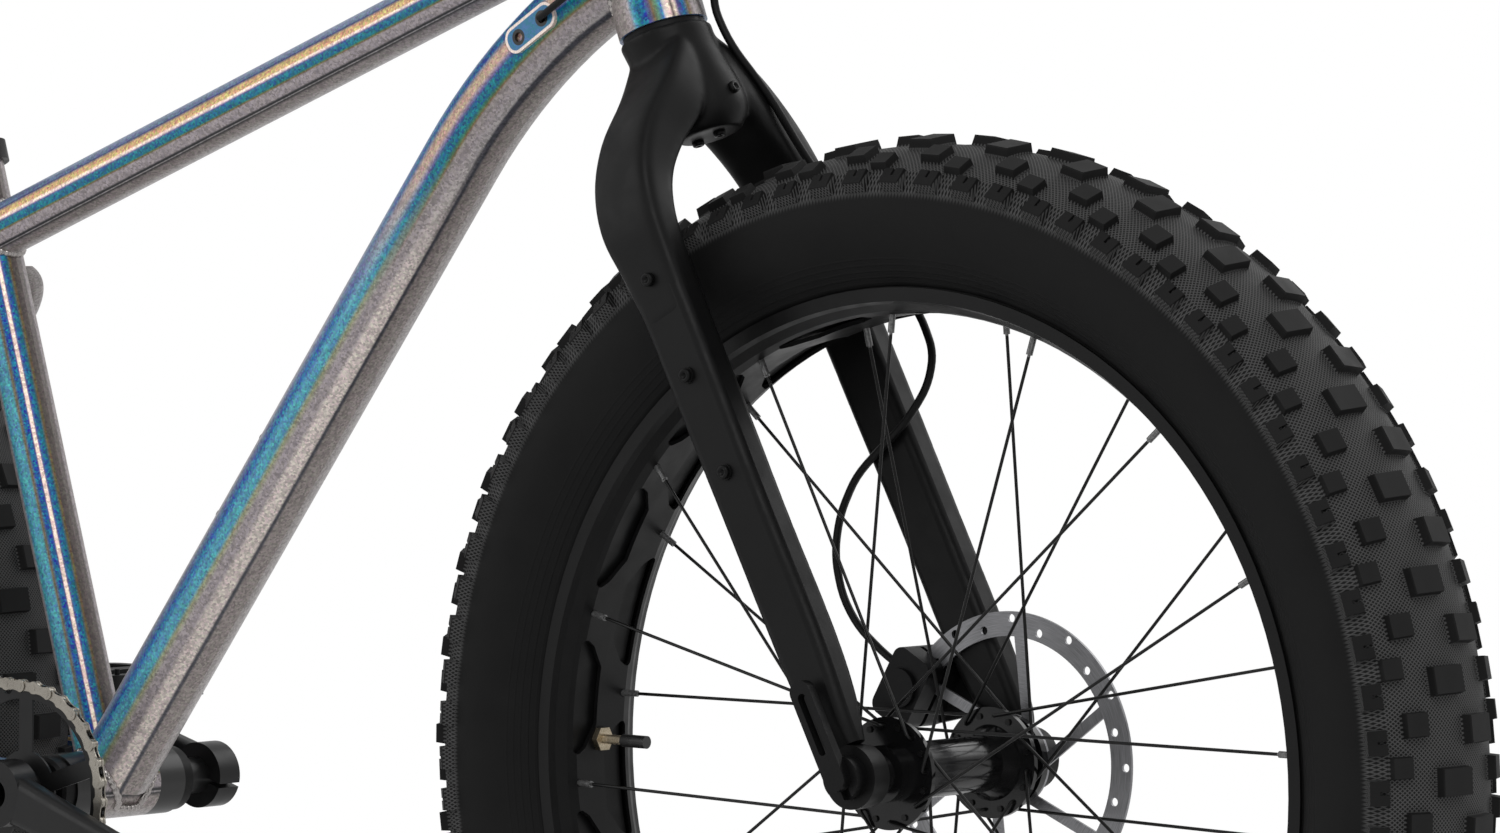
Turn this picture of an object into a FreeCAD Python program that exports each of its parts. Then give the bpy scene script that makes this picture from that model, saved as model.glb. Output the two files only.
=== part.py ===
import FreeCAD, Part
import math
import os

Vector = FreeCAD.Vector

# Layout of the bicycle: millimetres and degrees, +X forward, +Y to the left, +Z up, ground at zero
wheelbase = 1144.0
tyre_radius = 377.0
front_centre = 702.0
bottom_bracket_drop = 49.0
head_angle = 69.5
seat_angle = 73.5
fork_length = 486.0
fork_rake = 50.0
head_tube_length = 115.0
lower_stack = 4.0
seat_tube_length = 440.0
front_hub_width = 150.0
rear_hub_width = 197.0
chain_line = 75.0

# Clearances shared by all pieces
fit_gap = 0.05
seat_gap = 0.3
overrun = 6.0
touching = 1e-6
end_turn = 1e-4

# Tyre
tyre_half_width = 57.0
tread_half_width = 50.0
tread_drop = 15.8
knob_height = 5.5
knob_root = 2.4
shoulder_root = 5.0
knob_draft = 1.0
casing_wall = 3.2
bead_width = 4.0
bead_gap = 0.6
widest_height = 44.0
tread_pitches = 41
tread_phase = 4.6
tread_corner_rise = 0.75
shoulder_block_drop = 6.2
shoulder_block_out = 3.0
shoulder_block_lean = 48.0
# Each block: place along one pitch, length along it, width and place across, the last two of the half width
block_shares = (
    (0.21, 0.27, 0.46, 0.24),
    (0.71, 0.27, 0.46, -0.24),
    (0.30, 0.23, 0.27, -0.72),
    (0.80, 0.23, 0.27, 0.72),
    (0.88, 0.20, 0.23, -0.90),
    (0.38, 0.20, 0.23, 0.90),
)
# On the shoulder the last value is the side alone
shoulder_block_shares = (
    (0.15, 0.24, 0.22, 1),
    (0.63, 0.24, 0.22, 1),
    (0.15, 0.24, 0.22, -1),
    (0.63, 0.24, 0.22, -1),
)
block_slot_share = 0.16

# Rim
rim_flange_radius = 286.3
rim_half_width = 40.0
rim_depth = 15.7
flange_wall = 2.0
bead_seat_depth = 6.5
# Half section: depth below the flange and place across, as shares of depth and half width
rim_inner_shares = ((1.0, 0.0), (1.0, 0.55), (0.87, 0.72), (0.62, 0.88), (0.52, 1.0), (0.0, 1.0))
rim_well_shares = ((0.44, 0.82), (0.83, 0.60), (0.83, 0.0))
spoke_row_share = 0.5
window_count = 16
window_turn_shares = (0.36, 0.30, 0.17)
window_across_shares = (0.62, 0.34, 0.09)
window_corner = 4.0
strip_wall = 0.8
strip_half_share = 0.58

# Spokes and nipples
spoke_count = 32
spoke_crossings = 3
spoke_phase = 4.8
spoke_elbow = 2.3
spoke_bore_gap = 0.25
spoke_radius = 1.0
spoke_head_radius = 1.9
spoke_head_height = 1.2
nipple_radius = 2.0
nipple_head_radius = 2.9
nipple_head_height = 1.8
nipple_length = 13.0
nipple_seat_depth = 0.5
spot_face_gap = 0.3
drill_gap = 0.35

# Hubs
flange_radius = 33.5
flange_thickness = 3.2
flange_circle = 28.5
front_flange_right = 52.0
front_flange_left = 47.0
rear_flange_right = 44.0
rear_flange_left = 62.0
front_barrel_radius = 17.0
rear_barrel_radius = 21.0
front_axle_radius = 7.5
rear_axle_radius = 6.0
hub_cap_radius = 12.0
hub_shoulder = 10.0
flange_web_radius = 23.0
hub_chamfer = 1.5
hub_cone = 9.0
rear_stub_radius = 9.0
front_rotor_inset = 8.0
rear_rotor_inset = 16.5
rotor_seat_radius = 28.0
rotor_seat_length = 5.0

# Disc brakes
front_rotor_radius = 90.0
rear_rotor_radius = 80.0
rotor_thickness = 1.8
rotor_track = 15.0
rotor_hub_radius = 28.0
rotor_hub_bore = 17.5
rotor_bolt_circle = 44.0
rotor_bolt_radius = 2.5
rotor_arms = 6
rotor_waves = 12
rotor_hole_radius = 2.6
rotor_hole_shares = (0.28, 0.66)
rotor_edge_gap = 2.5
rotor_arm_width = 7.0
rotor_arm_lean = 26.0
caliper_width = 33.0
caliper_length = 46.0
caliper_height = 30.0
caliper_slot = 3.4
caliper_corner = 7.0
caliper_reach_share = 0.93
caliper_bolt_share = 0.34
caliper_bolt_depth = 8.0
front_caliper_angle = 150.5
rear_caliper_angle = 28.0
pocket_half = 5.0
piston_radius = 12.0
piston_stand = 3.0
pad_length = 28.0
pad_height = 15.0
pad_gap = 0.2

# Frame tubes
head_tube_radius = 28.0
head_tube_waist = 26.0
head_tube_flare = 14.0
steerer_low_radius = 19.8
steerer_radius = 14.3
bearing_low_radius = 26.0
bearing_high_radius = 21.0
bearing_height = 8.0
steerer_gap = 0.4
steerer_wall = 2.5
top_tube_radius = 18.0
top_tube_wall = 1.6
top_tube_meet = 83.0
top_tube_drop = 63.0
down_tube_radius = 25.0
down_tube_wall = 1.8
down_tube_meet = 47.0
down_tube_slope = 31.0
down_tube_low_slope = 52.4
boss_depth = 4.0
down_tube_bend = 400.0
seat_tube_radius = 17.45
seatpost_radius = 15.8
collar_height = 14.0
collar_wall = 4.0
collar_ear = 9.0
collar_slot = 3.0
weld_gap = 0.05
shell_half_width = 50.0
shell_radius = 23.0
shell_bore = 18.5

# Rear triangle
dropout_thickness = 8.0
dropout_reach = 32.0
dropout_height = 33.0
chainstay_start = 15.0
chainstay_end_drop = 5.0
seatstay_foot_fore = 12.0
dropout_corner = 5.0
# Dropout outline about the axle: forward and up, as shares of its reach and height
dropout_shares = (
    (-0.62, -0.55), (0.65, -0.55), (1.0, -0.45), (1.0, 0.40), (0.80, 1.0), (-0.06, 1.0), (-0.62, 0.45),
)
# Chainstay sections: place along from shell to dropout, centre across, half width, half height
chainstay_along_shares = (0.0, 0.13, 0.26, 0.62, 1.0)
chainstay_across = (36.0, 66.0, 76.0, 85.0, 102.5)
chainstay_half_widths = (9.0, 5.5, 7.5, 8.5, 4.0)
chainstay_half_heights = (15.0, 15.0, 13.5, 11.5, 9.0)
stay_corner_share = 0.75
# Seatstay sections, from the dropout up to the seat tube
seatstay_up_shares = (0.0, 0.3, 0.74, 0.9, 1.0)
seatstay_across = (102.5, 88.0, 78.0, 62.0, 22.0)
seatstay_half_widths = (4.0, 7.0, 7.5, 8.0, 9.0)
seatstay_half_depths = (9.0, 9.0, 9.5, 10.0, 10.0)
seatstay_join_drop = 20.0
hanger_reach = 30.0
hanger_back = 8.0
hanger_width = 20.0
hanger_bore = 5.0

# Fork
leg_lean = 27.5
crown_depth = 70.0
crown_top_radius = 29.0
crown_neck_radius = 28.5
crown_root_radius = 30.0
crown_neck_depth = 34.0
# Left leg sections by height above the axle along the leg
leg_heights = (18.0, 60.0, 150.0, 240.0, 330.0, 390.0)
leg_inner = (75.2, 70.0, 69.3, 68.7, 68.0, 62.0)
leg_outer = (89.0, 92.0, 92.0, 92.0, 92.0, 90.0)
leg_half_depths = (13.0, 17.0, 17.7, 18.3, 19.0, 21.0)
leg_corner = 6.0
arch_height = 428.0
arch_across = 62.0
arch_half_thickness = 17.0
arch_half_depth = 25.0
crown_height = 434.0
crown_fore = 2.0
crown_half_height = 37.0
crown_half_depth = 29.0
fork_end_thickness = 14.0
fork_end_radius = 19.0
fork_boss_radius = 5.0
fork_boss_rise = 1.5
fork_boss_bore = 2.1
fork_boss_depth = 9.0
fork_boss_pitch = 64.0
fork_boss_start = 199.0
fork_boss_count = 3
tab_thickness = 6.5
tab_low_height = 34.0
tab_high_height = 112.0

# Thru axle lever
axle_head_radius = 13.0
axle_tip = 3.0
axle_head_length = 9.0
lever_length = 70.0
lever_width = 15.0
lever_thickness = 6.0
lever_slot_width = 6.0
lever_pin_radius = 3.0
lever_corner_share = 0.45
lever_window_share = 0.28

# Drive train
chain_pitch = 12.7
roller_radius = 3.85
pin_radius = 1.85
pin_gap = 0.1
plate_radius = 4.2
plate_waist = 2.9
plate_thickness = 0.7
inner_half_gap = 1.1
pin_half_length = 2.75
tooth_half_thickness = 0.8
tooth_tip_height = 3.0
tooth_tip_half = 1.1
tooth_gap = 0.35
chainring_teeth = 34
cassette_teeth = (11, 13, 15, 17, 19, 21, 24, 28, 32, 37, 42)
driven_sprocket = 5
sprocket_spacing = 3.9
carrier_radius = 17.0
pulley_teeth = 12
pulley_distance = 116.0
pulley_lag = 20.0
cage_length = 88.0
cage_angle = -58.0
cage_angle_span = 30.0
cage_plate_thickness = 2.0
cage_half_gap = 6.0
cage_half_width = 9.0
pulley_pin_radius = 3.0
pulley_boss_radius = 6.5
pulley_head_height = 2.0
pulley_head_radius = 5.0
cage_waist = 7.0
knuckle_radius = 13.0
knuckle_length = 22.0
link_half_width = 8.0
link_thickness = 5.0
link_place_shares = (0.25, 0.75)
tooth_seat_turn = 75.0
walk_span_shares = (1.0, 1.08)
halvings = 50
sprocket_rim = 6.0
sprocket_windows = 6
sprocket_window_share = 0.8
spacer_wall = 3.0
chainring_arms = 5
chainring_rim = 8.0
chainring_hub_radius = 27.0
chainring_arm_width = 12.0
spindle_radius = 12.0
spindle_wall = 2.5
cup_radius = 21.5
cup_width = 11.0
cup_chamfer = 2.0
ring_mount_radius = 16.0
ring_mount_depth = 3.0
crank_length = 172.0
crank_angle = -17.0
crank_inner = 84.0
crank_outer = 103.0
crank_flare = 10.0
crank_boss_radius = 22.0
crank_along_shares = (0.0, 0.5, 1.0)
crank_half_widths = (17.0, 14.0, 13.0)
crank_half_thicknesses = (8.5, 7.5, 6.0)
crank_end_radius = 16.0
crank_end_thickness = 13.0
pedal_axle_radius = 4.5
pedal_thread_radius = 7.0
pedal_collar_radius = 8.0
pedal_axle_share = 0.9
pedal_pin_shares = (-0.36, -0.12, 0.12, 0.36)
pedal_width = 100.0
pedal_length = 98.0
pedal_height = 18.0
pedal_gap = 6.0
pedal_corner = 12.0
pedal_bar = 11.0
pedal_barrel_radius = 9.0
pedal_pin_radius = 1.8
pedal_pin_height = 4.0

# Cockpit
upper_stack = 8.0
spacer_height = 15.0
spacer_radius = 19.0
stem_height = 40.0
stem_length = 60.0
stem_wall = 4.0
stem_clamp_width = 46.0
stem_neck_half_width = 15.0
stem_neck_half_height = 17.0
faceplate_wall = 5.0
faceplate_gap = 2.5
top_cap_height = 5.0
cover_radius = 22.0
cap_inset = 2.0
stem_ear = 14.0
faceplate_bolt_share = 0.33
bolt_radius = 2.5
bolt_head_radius = 4.2
bolt_head_height = 4.0
bar_width = 760.0
bar_clamp_radius = 15.9
bar_radius = 11.1
bar_wall = 1.8
bar_clamp_half = 40.0
bar_taper = 28.0
bar_middle_half = 74.0
bar_straight = 95.0
bar_rise = 18.0
bar_rise_run = 70.0
bar_sweep = 8.0
bar_bend = 120.0
grip_length = 132.0
grip_radius = 15.5
grip_rib_radius = 16.5
grip_ribs = 14
grip_collar = 12.0
grip_end = 4.0
brake_clamp_width = 16.0
brake_clamp_wall = 4.5
master_radius = 10.5
master_length = 62.0
master_fore = 27.0
master_corner = 3.0
neck_share = 0.8
lever_pivot_fore = 44.0
lever_eye = 6.0
lever_side_gap = 0.4
fork_plate = 3.0
# Brake lever blade: out along the grip, forward of its pin, and thickness
lever_along_shares = (0.0, 0.25, 0.65, 1.0)
lever_fore_shares = (0.0, 0.08, 0.06, 0.04)
lever_thin_shares = (1.1, 1.0, 0.9, 0.8)
brake_lever_length = 95.0
brake_lever_width = 13.0
brake_lever_thickness = 9.0
shifter_width = 14.0
shifter_box = 44.0
shifter_height = 20.0
shifter_fore = 6.0
shifter_depth_share = 0.36
paddle_length = 42.0
paddle_width = 14.0
paddle_thickness = 5.0
down_paddle_shares = (0.75, -0.65)
up_paddle_shares = (0.8, 0.6)
up_paddle_share = 0.8

# Seat
seatpost_show = 175.0
seatpost_sunk = 130.0
seatpost_wall = 2.0
post_head_radius = 17.0
post_head_half_width = 20.0
clamp_bolt_share = 0.32
rail_radius = 3.5
rail_half_spacing = 22.0
rail_rise = 26.0
rail_bend = 18.0
# Rail corners: along the saddle, across as a share of the half spacing, and rise
rail_shares = ((0.12, 1.5, 1.0), (0.28, 1.0, 0.0), (0.66, 1.0, 0.0), (0.84, 0.4, 1.0))
clamp_plate_length = 40.0
clamp_plate_wall = 6.0
saddle_length = 275.0
saddle_half_width = 72.0
saddle_nose_half_width = 19.0
saddle_pad_height = 34.0
saddle_shell_wall = 4.0
saddle_shell_corner = 1.5
saddle_crown = 8.0
saddle_centre_share = 0.46
saddle_side_share = 0.45
saddle_foot_share = 0.86
saddle_shoulder_share = 0.82
# Saddle outline: place along from tail to nose, half width between nose and tail, drop of the edge
saddle_along_shares = (0.0, 0.08, 0.24, 0.45, 0.68, 0.9, 1.0)
saddle_width_shares = (0.62, 0.9, 1.0, 0.62, 0.16, 0.02, -0.32)
saddle_height_shares = (0.72, 0.95, 1.0, 0.9, 0.84, 0.8, 0.62)

# Hoses, cable and small fittings
hose_radius = 2.5
cable_radius = 2.2
hose_entry = 8.0
hose_lead = 22.0
hose_exit_share = 0.74
cable_exit_share = 0.9
cable_drop = 4.0
cable_entry = 8.5
hose_foot_gap = 0.8
port_length = 44.0
port_width = 17.0
port_thickness = 2.0
port_hole = 3.6
port_place = 80.8
port_hole_share = 0.25
port_sink = 6.0
hole_step = 0.6
bottle_bolt_first = 208.5
bottle_bolt_pitch = 64.0
valve_radius = 3.0
valve_length = 34.0
valve_cap_radius = 4.0
valve_cap_length = 15.0
valve_nut_radius = 8.0
valve_nut_height = 4.0
valve_angle = 179.3

# Main points and directions
LEFT = Vector(0, 1, 0)
FORE = Vector(1, 0, 0)
UP = Vector(0, 0, 1)
ORIGIN = Vector(0, 0, 0)


def slope(angle):
    """Unit direction in the middle plane, turned up from straight ahead."""
    return Vector(math.cos(math.radians(angle)), 0, math.sin(math.radians(angle)))


front_axle = Vector(wheelbase / 2, 0, tyre_radius)
rear_axle = Vector(-wheelbase / 2, 0, tyre_radius)
crank_axle = front_axle + FORE * -front_centre + UP * -bottom_bracket_drop
steer_up = slope(180 - head_angle)
steer_fore = slope(90 - head_angle)
head_foot = front_axle - steer_fore * fork_rake + steer_up * (fork_length + lower_stack)
seat_up = slope(180 - seat_angle)
seat_back = slope(270 - seat_angle)
seat_top = crank_axle + seat_up * seat_tube_length


def on_steerer(height, fore=0.0, across=0.0):
    """Point beside the steering axis, with height counted from the head tube's lower end."""
    return head_foot + steer_up * height + steer_fore * fore + LEFT * across


def unit(direction):
    """The direction with length one."""
    return direction / direction.Length


def rod(start, end, radius):
    """Solid cylinder between two points."""
    return Part.makeCylinder(radius, (end - start).Length, start, end - start)


def sleeve(start, end, radius, bore):
    """Straight tube between two points."""
    reach = unit(end - start) * overrun
    return rod(start, end, radius).cut(rod(start - reach, end + reach, bore))


def turned(profile, origin, axis, out):
    """Closed profile of (radius, place along the axis) turned about the axis."""
    points = [origin + out * radius + axis * along for radius, along in profile]
    return Part.Face(Part.makePolygon(points + points[:1])).revolve(origin, axis, 360)


def rounded(points, radius):
    """Closed outline through the points, with every corner rounded."""
    corners = []
    for place, corner in enumerate(points):
        back = unit(points[place - 1] - corner)
        ahead = unit(points[(place + 1) % len(points)] - corner)
        half = back.getAngle(ahead) / 2
        size = radius[place] if isinstance(radius, (list, tuple)) else radius
        reach = size / math.tan(half)
        middle = corner + unit(back + ahead) * (size / math.sin(half) - size)
        corners.append((corner + back * reach, middle, corner + ahead * reach))
    edges = []
    for place, (start, middle, end) in enumerate(corners):
        edges.append(Part.Arc(start, middle, end).toShape())
        following = corners[(place + 1) % len(corners)][0]
        if (following - end).Length > touching:
            edges.append(Part.LineSegment(end, following).toShape())
    return Part.Wire(edges)


def section(centre, across, up, half_across, half_up, radius):
    """Rounded rectangle about a centre."""
    signs = ((-1, -1), (1, -1), (1, 1), (-1, 1))
    return rounded([centre + across * (half_across * a) + up * (half_up * b) for a, b in signs], radius)


def plate(outline, thickness):
    """Flat plate: an outline pushed along a direction."""
    return Part.Face(outline).extrude(thickness)


def block(centre, across, up, half_across, half_up, radius, along):
    """Rounded bar that runs along a direction from its first section."""
    return plate(section(centre, across, up, half_across, half_up, radius), along)


def loft(sections):
    """Smooth solid through closed sections."""
    return Part.makeLoft(sections, True, False)


def bent_path(points, bend):
    """Straight runs joined by tangent arcs of one radius, or of one radius per corner."""
    edges = []
    start = points[0]
    for place in range(1, len(points) - 1):
        corner = points[place]
        back = unit(points[place - 1] - corner)
        ahead = unit(points[place + 1] - corner)
        half = back.getAngle(ahead) / 2
        size = bend[place - 1] if isinstance(bend, (list, tuple)) else bend
        reach = size / math.tan(half)
        middle = corner + unit(back + ahead) * (size / math.sin(half) - size)
        if (corner + back * reach - start).Length > touching:
            edges.append(Part.LineSegment(start, corner + back * reach).toShape())
        edges.append(Part.Arc(corner + back * reach, middle, corner + ahead * reach).toShape())
        start = corner + ahead * reach
    edges.append(Part.LineSegment(start, points[-1]).toShape())
    return Part.Wire(edges)


def swept(path, radius):
    """Round bar along a path."""
    first = path.OrderedEdges[0]
    start = path.OrderedVertexes[0].Point
    tangent = first.tangentAt(first.FirstParameter)
    ring = Part.Wire(Part.makeCircle(radius, start, tangent))
    return path.makePipeShell([ring], True, False)


def hose(points):
    """A hose or cable run: each arc is as large as its two runs allow."""
    radii = []
    bend_share = 0.45
    for place in range(1, len(points) - 1):
        back = points[place - 1] - points[place]
        ahead = points[place + 1] - points[place]
        half = back.getAngle(ahead) / 2
        radii.append(bend_share * min(back.Length, ahead.Length) * math.tan(half))
    return bent_path(points, radii)


def both_sides(solid):
    """The solid and its mirror image across the middle plane."""
    return [solid, solid.mirror(ORIGIN, LEFT)]


def around(solid, centre, axis, count, start=0.0):
    """Copies of a solid spaced evenly round an axis."""
    copies = []
    for step in range(count):
        copy = solid.copy()
        copy.rotate(centre, axis, start + step * 360 / count)
        copies.append(copy)
    return copies


def save(node, solids):
    """Write one sub-part as a group of its solids."""
    found = [piece for solid in solids for piece in solid.Solids]
    for piece in found:
        if not piece.isValid() or piece.Volume <= 0:
            print("check", node, piece.isValid(), piece.Volume)
    Part.makeCompound(found).exportStep("parts/" + node + ".step")


# Wheels are made about the origin, with their axle along Y, and then set in place


def spin(angle):
    """Outward direction at an angle about the axle, counted up from straight ahead."""
    return Vector(math.cos(math.radians(angle)), 0, math.sin(math.radians(angle)))


def placed(solids, centre):
    """Copies of solids made about the origin, moved to a wheel's centre."""
    moved = []
    for solid in solids:
        copy = solid.copy()
        copy.translate(centre)
        moved.append(copy)
    return moved


casing_radius = tyre_radius - knob_height - tread_corner_rise
tread_curve = (tread_half_width**2 + tread_drop**2) / (2 * tread_drop)
rim_well_radius = rim_flange_radius - rim_depth * rim_well_shares[-1][0]
rim_inner_radius = rim_flange_radius - rim_depth
bead_seat_radius = rim_flange_radius - bead_seat_depth
bead_inner_half = rim_half_width - flange_wall


def tyre_section():
    """Closed casing section: beads, sidewalls and tread, inside and out."""
    heel = bead_inner_half - bead_gap
    foot = bead_seat_radius + bead_gap
    shoulder = casing_radius - tread_drop
    lip = rim_flange_radius + bead_gap
    wide = rim_flange_radius + widest_height
    outer = ((foot, heel), (lip, heel), (wide, tyre_half_width), (shoulder, tread_half_width))
    toe = heel - bead_width
    inner = ((lip, toe), (wide, tyre_half_width - casing_wall))
    inner += ((shoulder - casing_wall / 2, tread_half_width - casing_wall),)

    def at(radius, across):
        return Vector(radius, across, 0)

    def arc(first, middle, last):
        return Part.Arc(at(*first), at(*middle), at(*last)).toShape()

    def line(first, last):
        return Part.LineSegment(at(*first), at(*last)).toShape()

    def flip(point):
        return (point[0], -point[1])

    crown = (casing_radius, 0)
    inner_crown = (casing_radius - casing_wall, 0)
    foot_toe = (foot, toe)
    edges = [
        line(foot_toe, outer[0]),
        line(outer[0], outer[1]),
        arc(outer[1], outer[2], outer[3]),
        arc(outer[3], crown, flip(outer[3])),
        arc(flip(outer[3]), flip(outer[2]), flip(outer[1])),
        line(flip(outer[1]), flip(outer[0])),
        line(flip(outer[0]), flip(foot_toe)),
        line(flip(foot_toe), flip(inner[0])),
        arc(flip(inner[0]), flip(inner[1]), flip(inner[2])),
        arc(flip(inner[2]), inner_crown, inner[2]),
        arc(inner[2], inner[1], inner[0]),
        line(inner[0], foot_toe),
    ]
    return Part.Face(Part.Wire(edges))


def tread_foot(across):
    """Foot and lean of a block on the tread's curve, from its place across."""
    lean = math.asin(across * tread_half_width / tread_curve)
    radius = casing_radius - tread_curve + tread_curve * math.cos(lean)
    return radius, across * tread_half_width, lean


def shoulder_foot(side):
    """Foot and lean of a block on the casing's shoulder."""
    radius = casing_radius - tread_drop - shoulder_block_drop
    return radius, side * (tread_half_width + shoulder_block_out), side * math.radians(shoulder_block_lean)


def tread_block(phase, length, width, foot, root, slotted):
    """One tapered tread block, standing square on the casing."""
    pitch_angle = 360 / tread_pitches
    radius, across, lean = foot
    out = spin(phase * pitch_angle)
    along = spin(phase * pitch_angle + 90)
    normal = out * math.cos(lean) + LEFT * math.sin(lean)
    sideways = LEFT * math.cos(lean) - out * math.sin(lean)
    centre = out * radius + LEFT * across
    half_length = length * math.radians(pitch_angle) * casing_radius / 2
    half_width = width * tread_half_width / 2
    faces = []
    for rise, grow in ((-root, knob_draft), (knob_height, 0)):
        middle = centre + normal * rise
        corners = []
        for a, b in ((-1, -1), (1, -1), (1, 1), (-1, 1)):
            step = along * (a * (half_length + grow)) + sideways * (b * (half_width + grow))
            corners.append(middle + step)
        faces.append(Part.makePolygon(corners + corners[:1]))
    solid = Part.makeLoft(faces, True, True)
    if slotted:
        groove = half_width * block_slot_share
        corner = centre + normal * (knob_height / 2) - along * groove
        cut = []
        for a, b in ((0, 0), (1, 0), (1, 1), (0, 1)):
            cut.append(corner + along * (a * 2 * groove) + sideways * (b * 2 * half_width))
        solid = solid.cut(plate(Part.makePolygon(cut + cut[:1]), normal * knob_height))
    return solid


def tyre():
    """The casing of one tread pitch with its blocks, repeated round the wheel and sewn into one skin."""
    pitch_angle = 360 / tread_pitches
    wedge = tyre_section().revolve(ORIGIN, -LEFT, pitch_angle)
    blocks = []
    for phase, length, width, across in block_shares:
        blocks.append(tread_block(phase, length, width, tread_foot(across), knob_root, False))
    for phase, length, width, side in shoulder_block_shares:
        blocks.append(tread_block(phase, length, width, shoulder_foot(side), shoulder_root, True))
    pitch = wedge.multiFuse(blocks)

    def at_end(face):
        turns = [math.degrees(math.atan2(v.Point.z, v.Point.x)) for v in face.Vertexes]
        ends = (0, pitch_angle)
        return any(all(abs(turn - end) < end_turn for turn in turns) for end in ends)

    skin = [face for face in pitch.Faces if not at_end(face)]
    faces = []
    for step in range(tread_pitches):
        for face in skin:
            copy = face.copy()
            copy.rotate(ORIGIN, -LEFT, tread_phase + step * pitch_angle)
            faces.append(copy)
    shell = Part.makeCompound(faces)
    shell.sewShape()
    return Part.Solid(shell.Shells[0])


def spoke_runs(right, left):
    """For every spoke: its hole in the flange, its end in the rim, and the way its elbow faces."""
    runs = []
    step = 2 * 360 / spoke_count
    for side, flange in ((-1, right), (1, left)):
        phase = spoke_phase + (0 if side < 0 else step / 2)
        row = side * rim_half_width * spoke_row_share
        for hole in range(spoke_count // 2):
            lean = 1 if hole % 2 == 0 else -1
            angle = phase + hole * step
            hub = spin(angle) * flange_circle + LEFT * (side * flange)
            tip = spin(angle + lean * spoke_crossings * step) * rim_well_radius + LEFT * row
            runs.append((hub, tip, LEFT * (side * lean)))
    return runs


def elbow_point(hub, tip, facing):
    """Where a spoke turns out of its flange hole towards the rim."""
    reach = flange_thickness / 2 + spoke_elbow + fit_gap
    fall = -facing.dot(unit(tip - hub))
    if fall > 0:
        edge_run = math.sqrt(flange_radius**2 - flange_circle**2)
        reach = max(reach, flange_thickness / 2 + spoke_radius + fall * edge_run + seat_gap)
    return hub + facing * reach


def rim(right, left):
    """Single-wall rim turned from its half section, drilled for the nipples, cut out, and its inner strip."""
    inner = [(rim_flange_radius - rim_depth * d, rim_half_width * a) for d, a in rim_inner_shares]
    well = [(rim_flange_radius - rim_depth * d, rim_half_width * a) for d, a in rim_well_shares]
    seat = [(rim_flange_radius, bead_inner_half), (bead_seat_radius, bead_inner_half)]
    half = inner + seat + well
    mirrored = [(radius, -across) for radius, across in reversed(half[1:-1])]
    hoop = turned(half + mirrored, ORIGIN, LEFT, FORE)
    cuts = []
    turn = 360 / window_count
    turns = [turn * share for share in window_turn_shares]
    for row in (-1, 1):
        places = [row * rim_half_width * share for share in window_across_shares]
        edge = [(angle, place) for angle, place in zip(turns, places)]
        edge += [(-angle, place) for angle, place in reversed(edge)]
        points = []
        for angle, place in edge:
            points.append(Vector(0, place, rim_inner_radius * math.tan(math.radians(angle))))
        outline = rounded(points, window_corner)
        outline.translate(FORE * (rim_inner_radius - overrun))
        window = plate(outline, FORE * (rim_depth + overrun))
        shift = spoke_phase + (turn / 2 if row < 0 else 0)
        cuts += around(window, ORIGIN, -LEFT, window_count, shift)
    for hub, tip, facing in spoke_runs(right, left):
        run = unit(tip - elbow_point(hub, tip, facing))
        seat_point = tip - run * nipple_seat_depth
        cuts.append(rod(tip - run * (2 * overrun), tip + run * overrun, nipple_radius + drill_gap))
        cuts.append(rod(seat_point, tip + run * overrun, nipple_head_radius + spot_face_gap))
    valve_way = spin(valve_angle)
    valve_inner = valve_way * (rim_inner_radius - overrun)
    cuts.append(rod(valve_inner, valve_way * rim_flange_radius, valve_radius + fit_gap))
    strip_radius = rim_well_radius + nipple_head_height + fit_gap
    strip_half = rim_half_width * strip_half_share
    strip = sleeve(LEFT * -strip_half, LEFT * strip_half, strip_radius + strip_wall, strip_radius)
    strip = strip.cut(cuts[-1])
    return [hoop.cut(Part.makeCompound(cuts)), strip]


def spokes(right, left):
    """Bent spokes with their heads, and the nipples that draw them to the rim."""
    solids = []
    for hub, tip, facing in spoke_runs(right, left):
        elbow = elbow_point(hub, tip, facing)
        run = unit(tip - elbow)
        face = hub - facing * (flange_thickness / 2)
        path = bent_path([face - facing * spoke_head_height, elbow, tip], spoke_elbow)
        head = rod(face, face - facing * spoke_head_height, spoke_head_radius)
        solids.append(swept(path, spoke_radius).fuse(head).removeSplitter())
        seat = tip - run * nipple_seat_depth
        bore = spoke_radius + fit_gap
        profile = (
            (bore, -nipple_length),
            (nipple_radius, -nipple_length),
            (nipple_radius, 0),
            (nipple_head_radius, 0),
            (nipple_head_radius, nipple_head_height),
            (bore, nipple_head_height),
        )
        solids.append(turned(profile, seat, run, unit(run.cross(LEFT))))
    return solids


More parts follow.
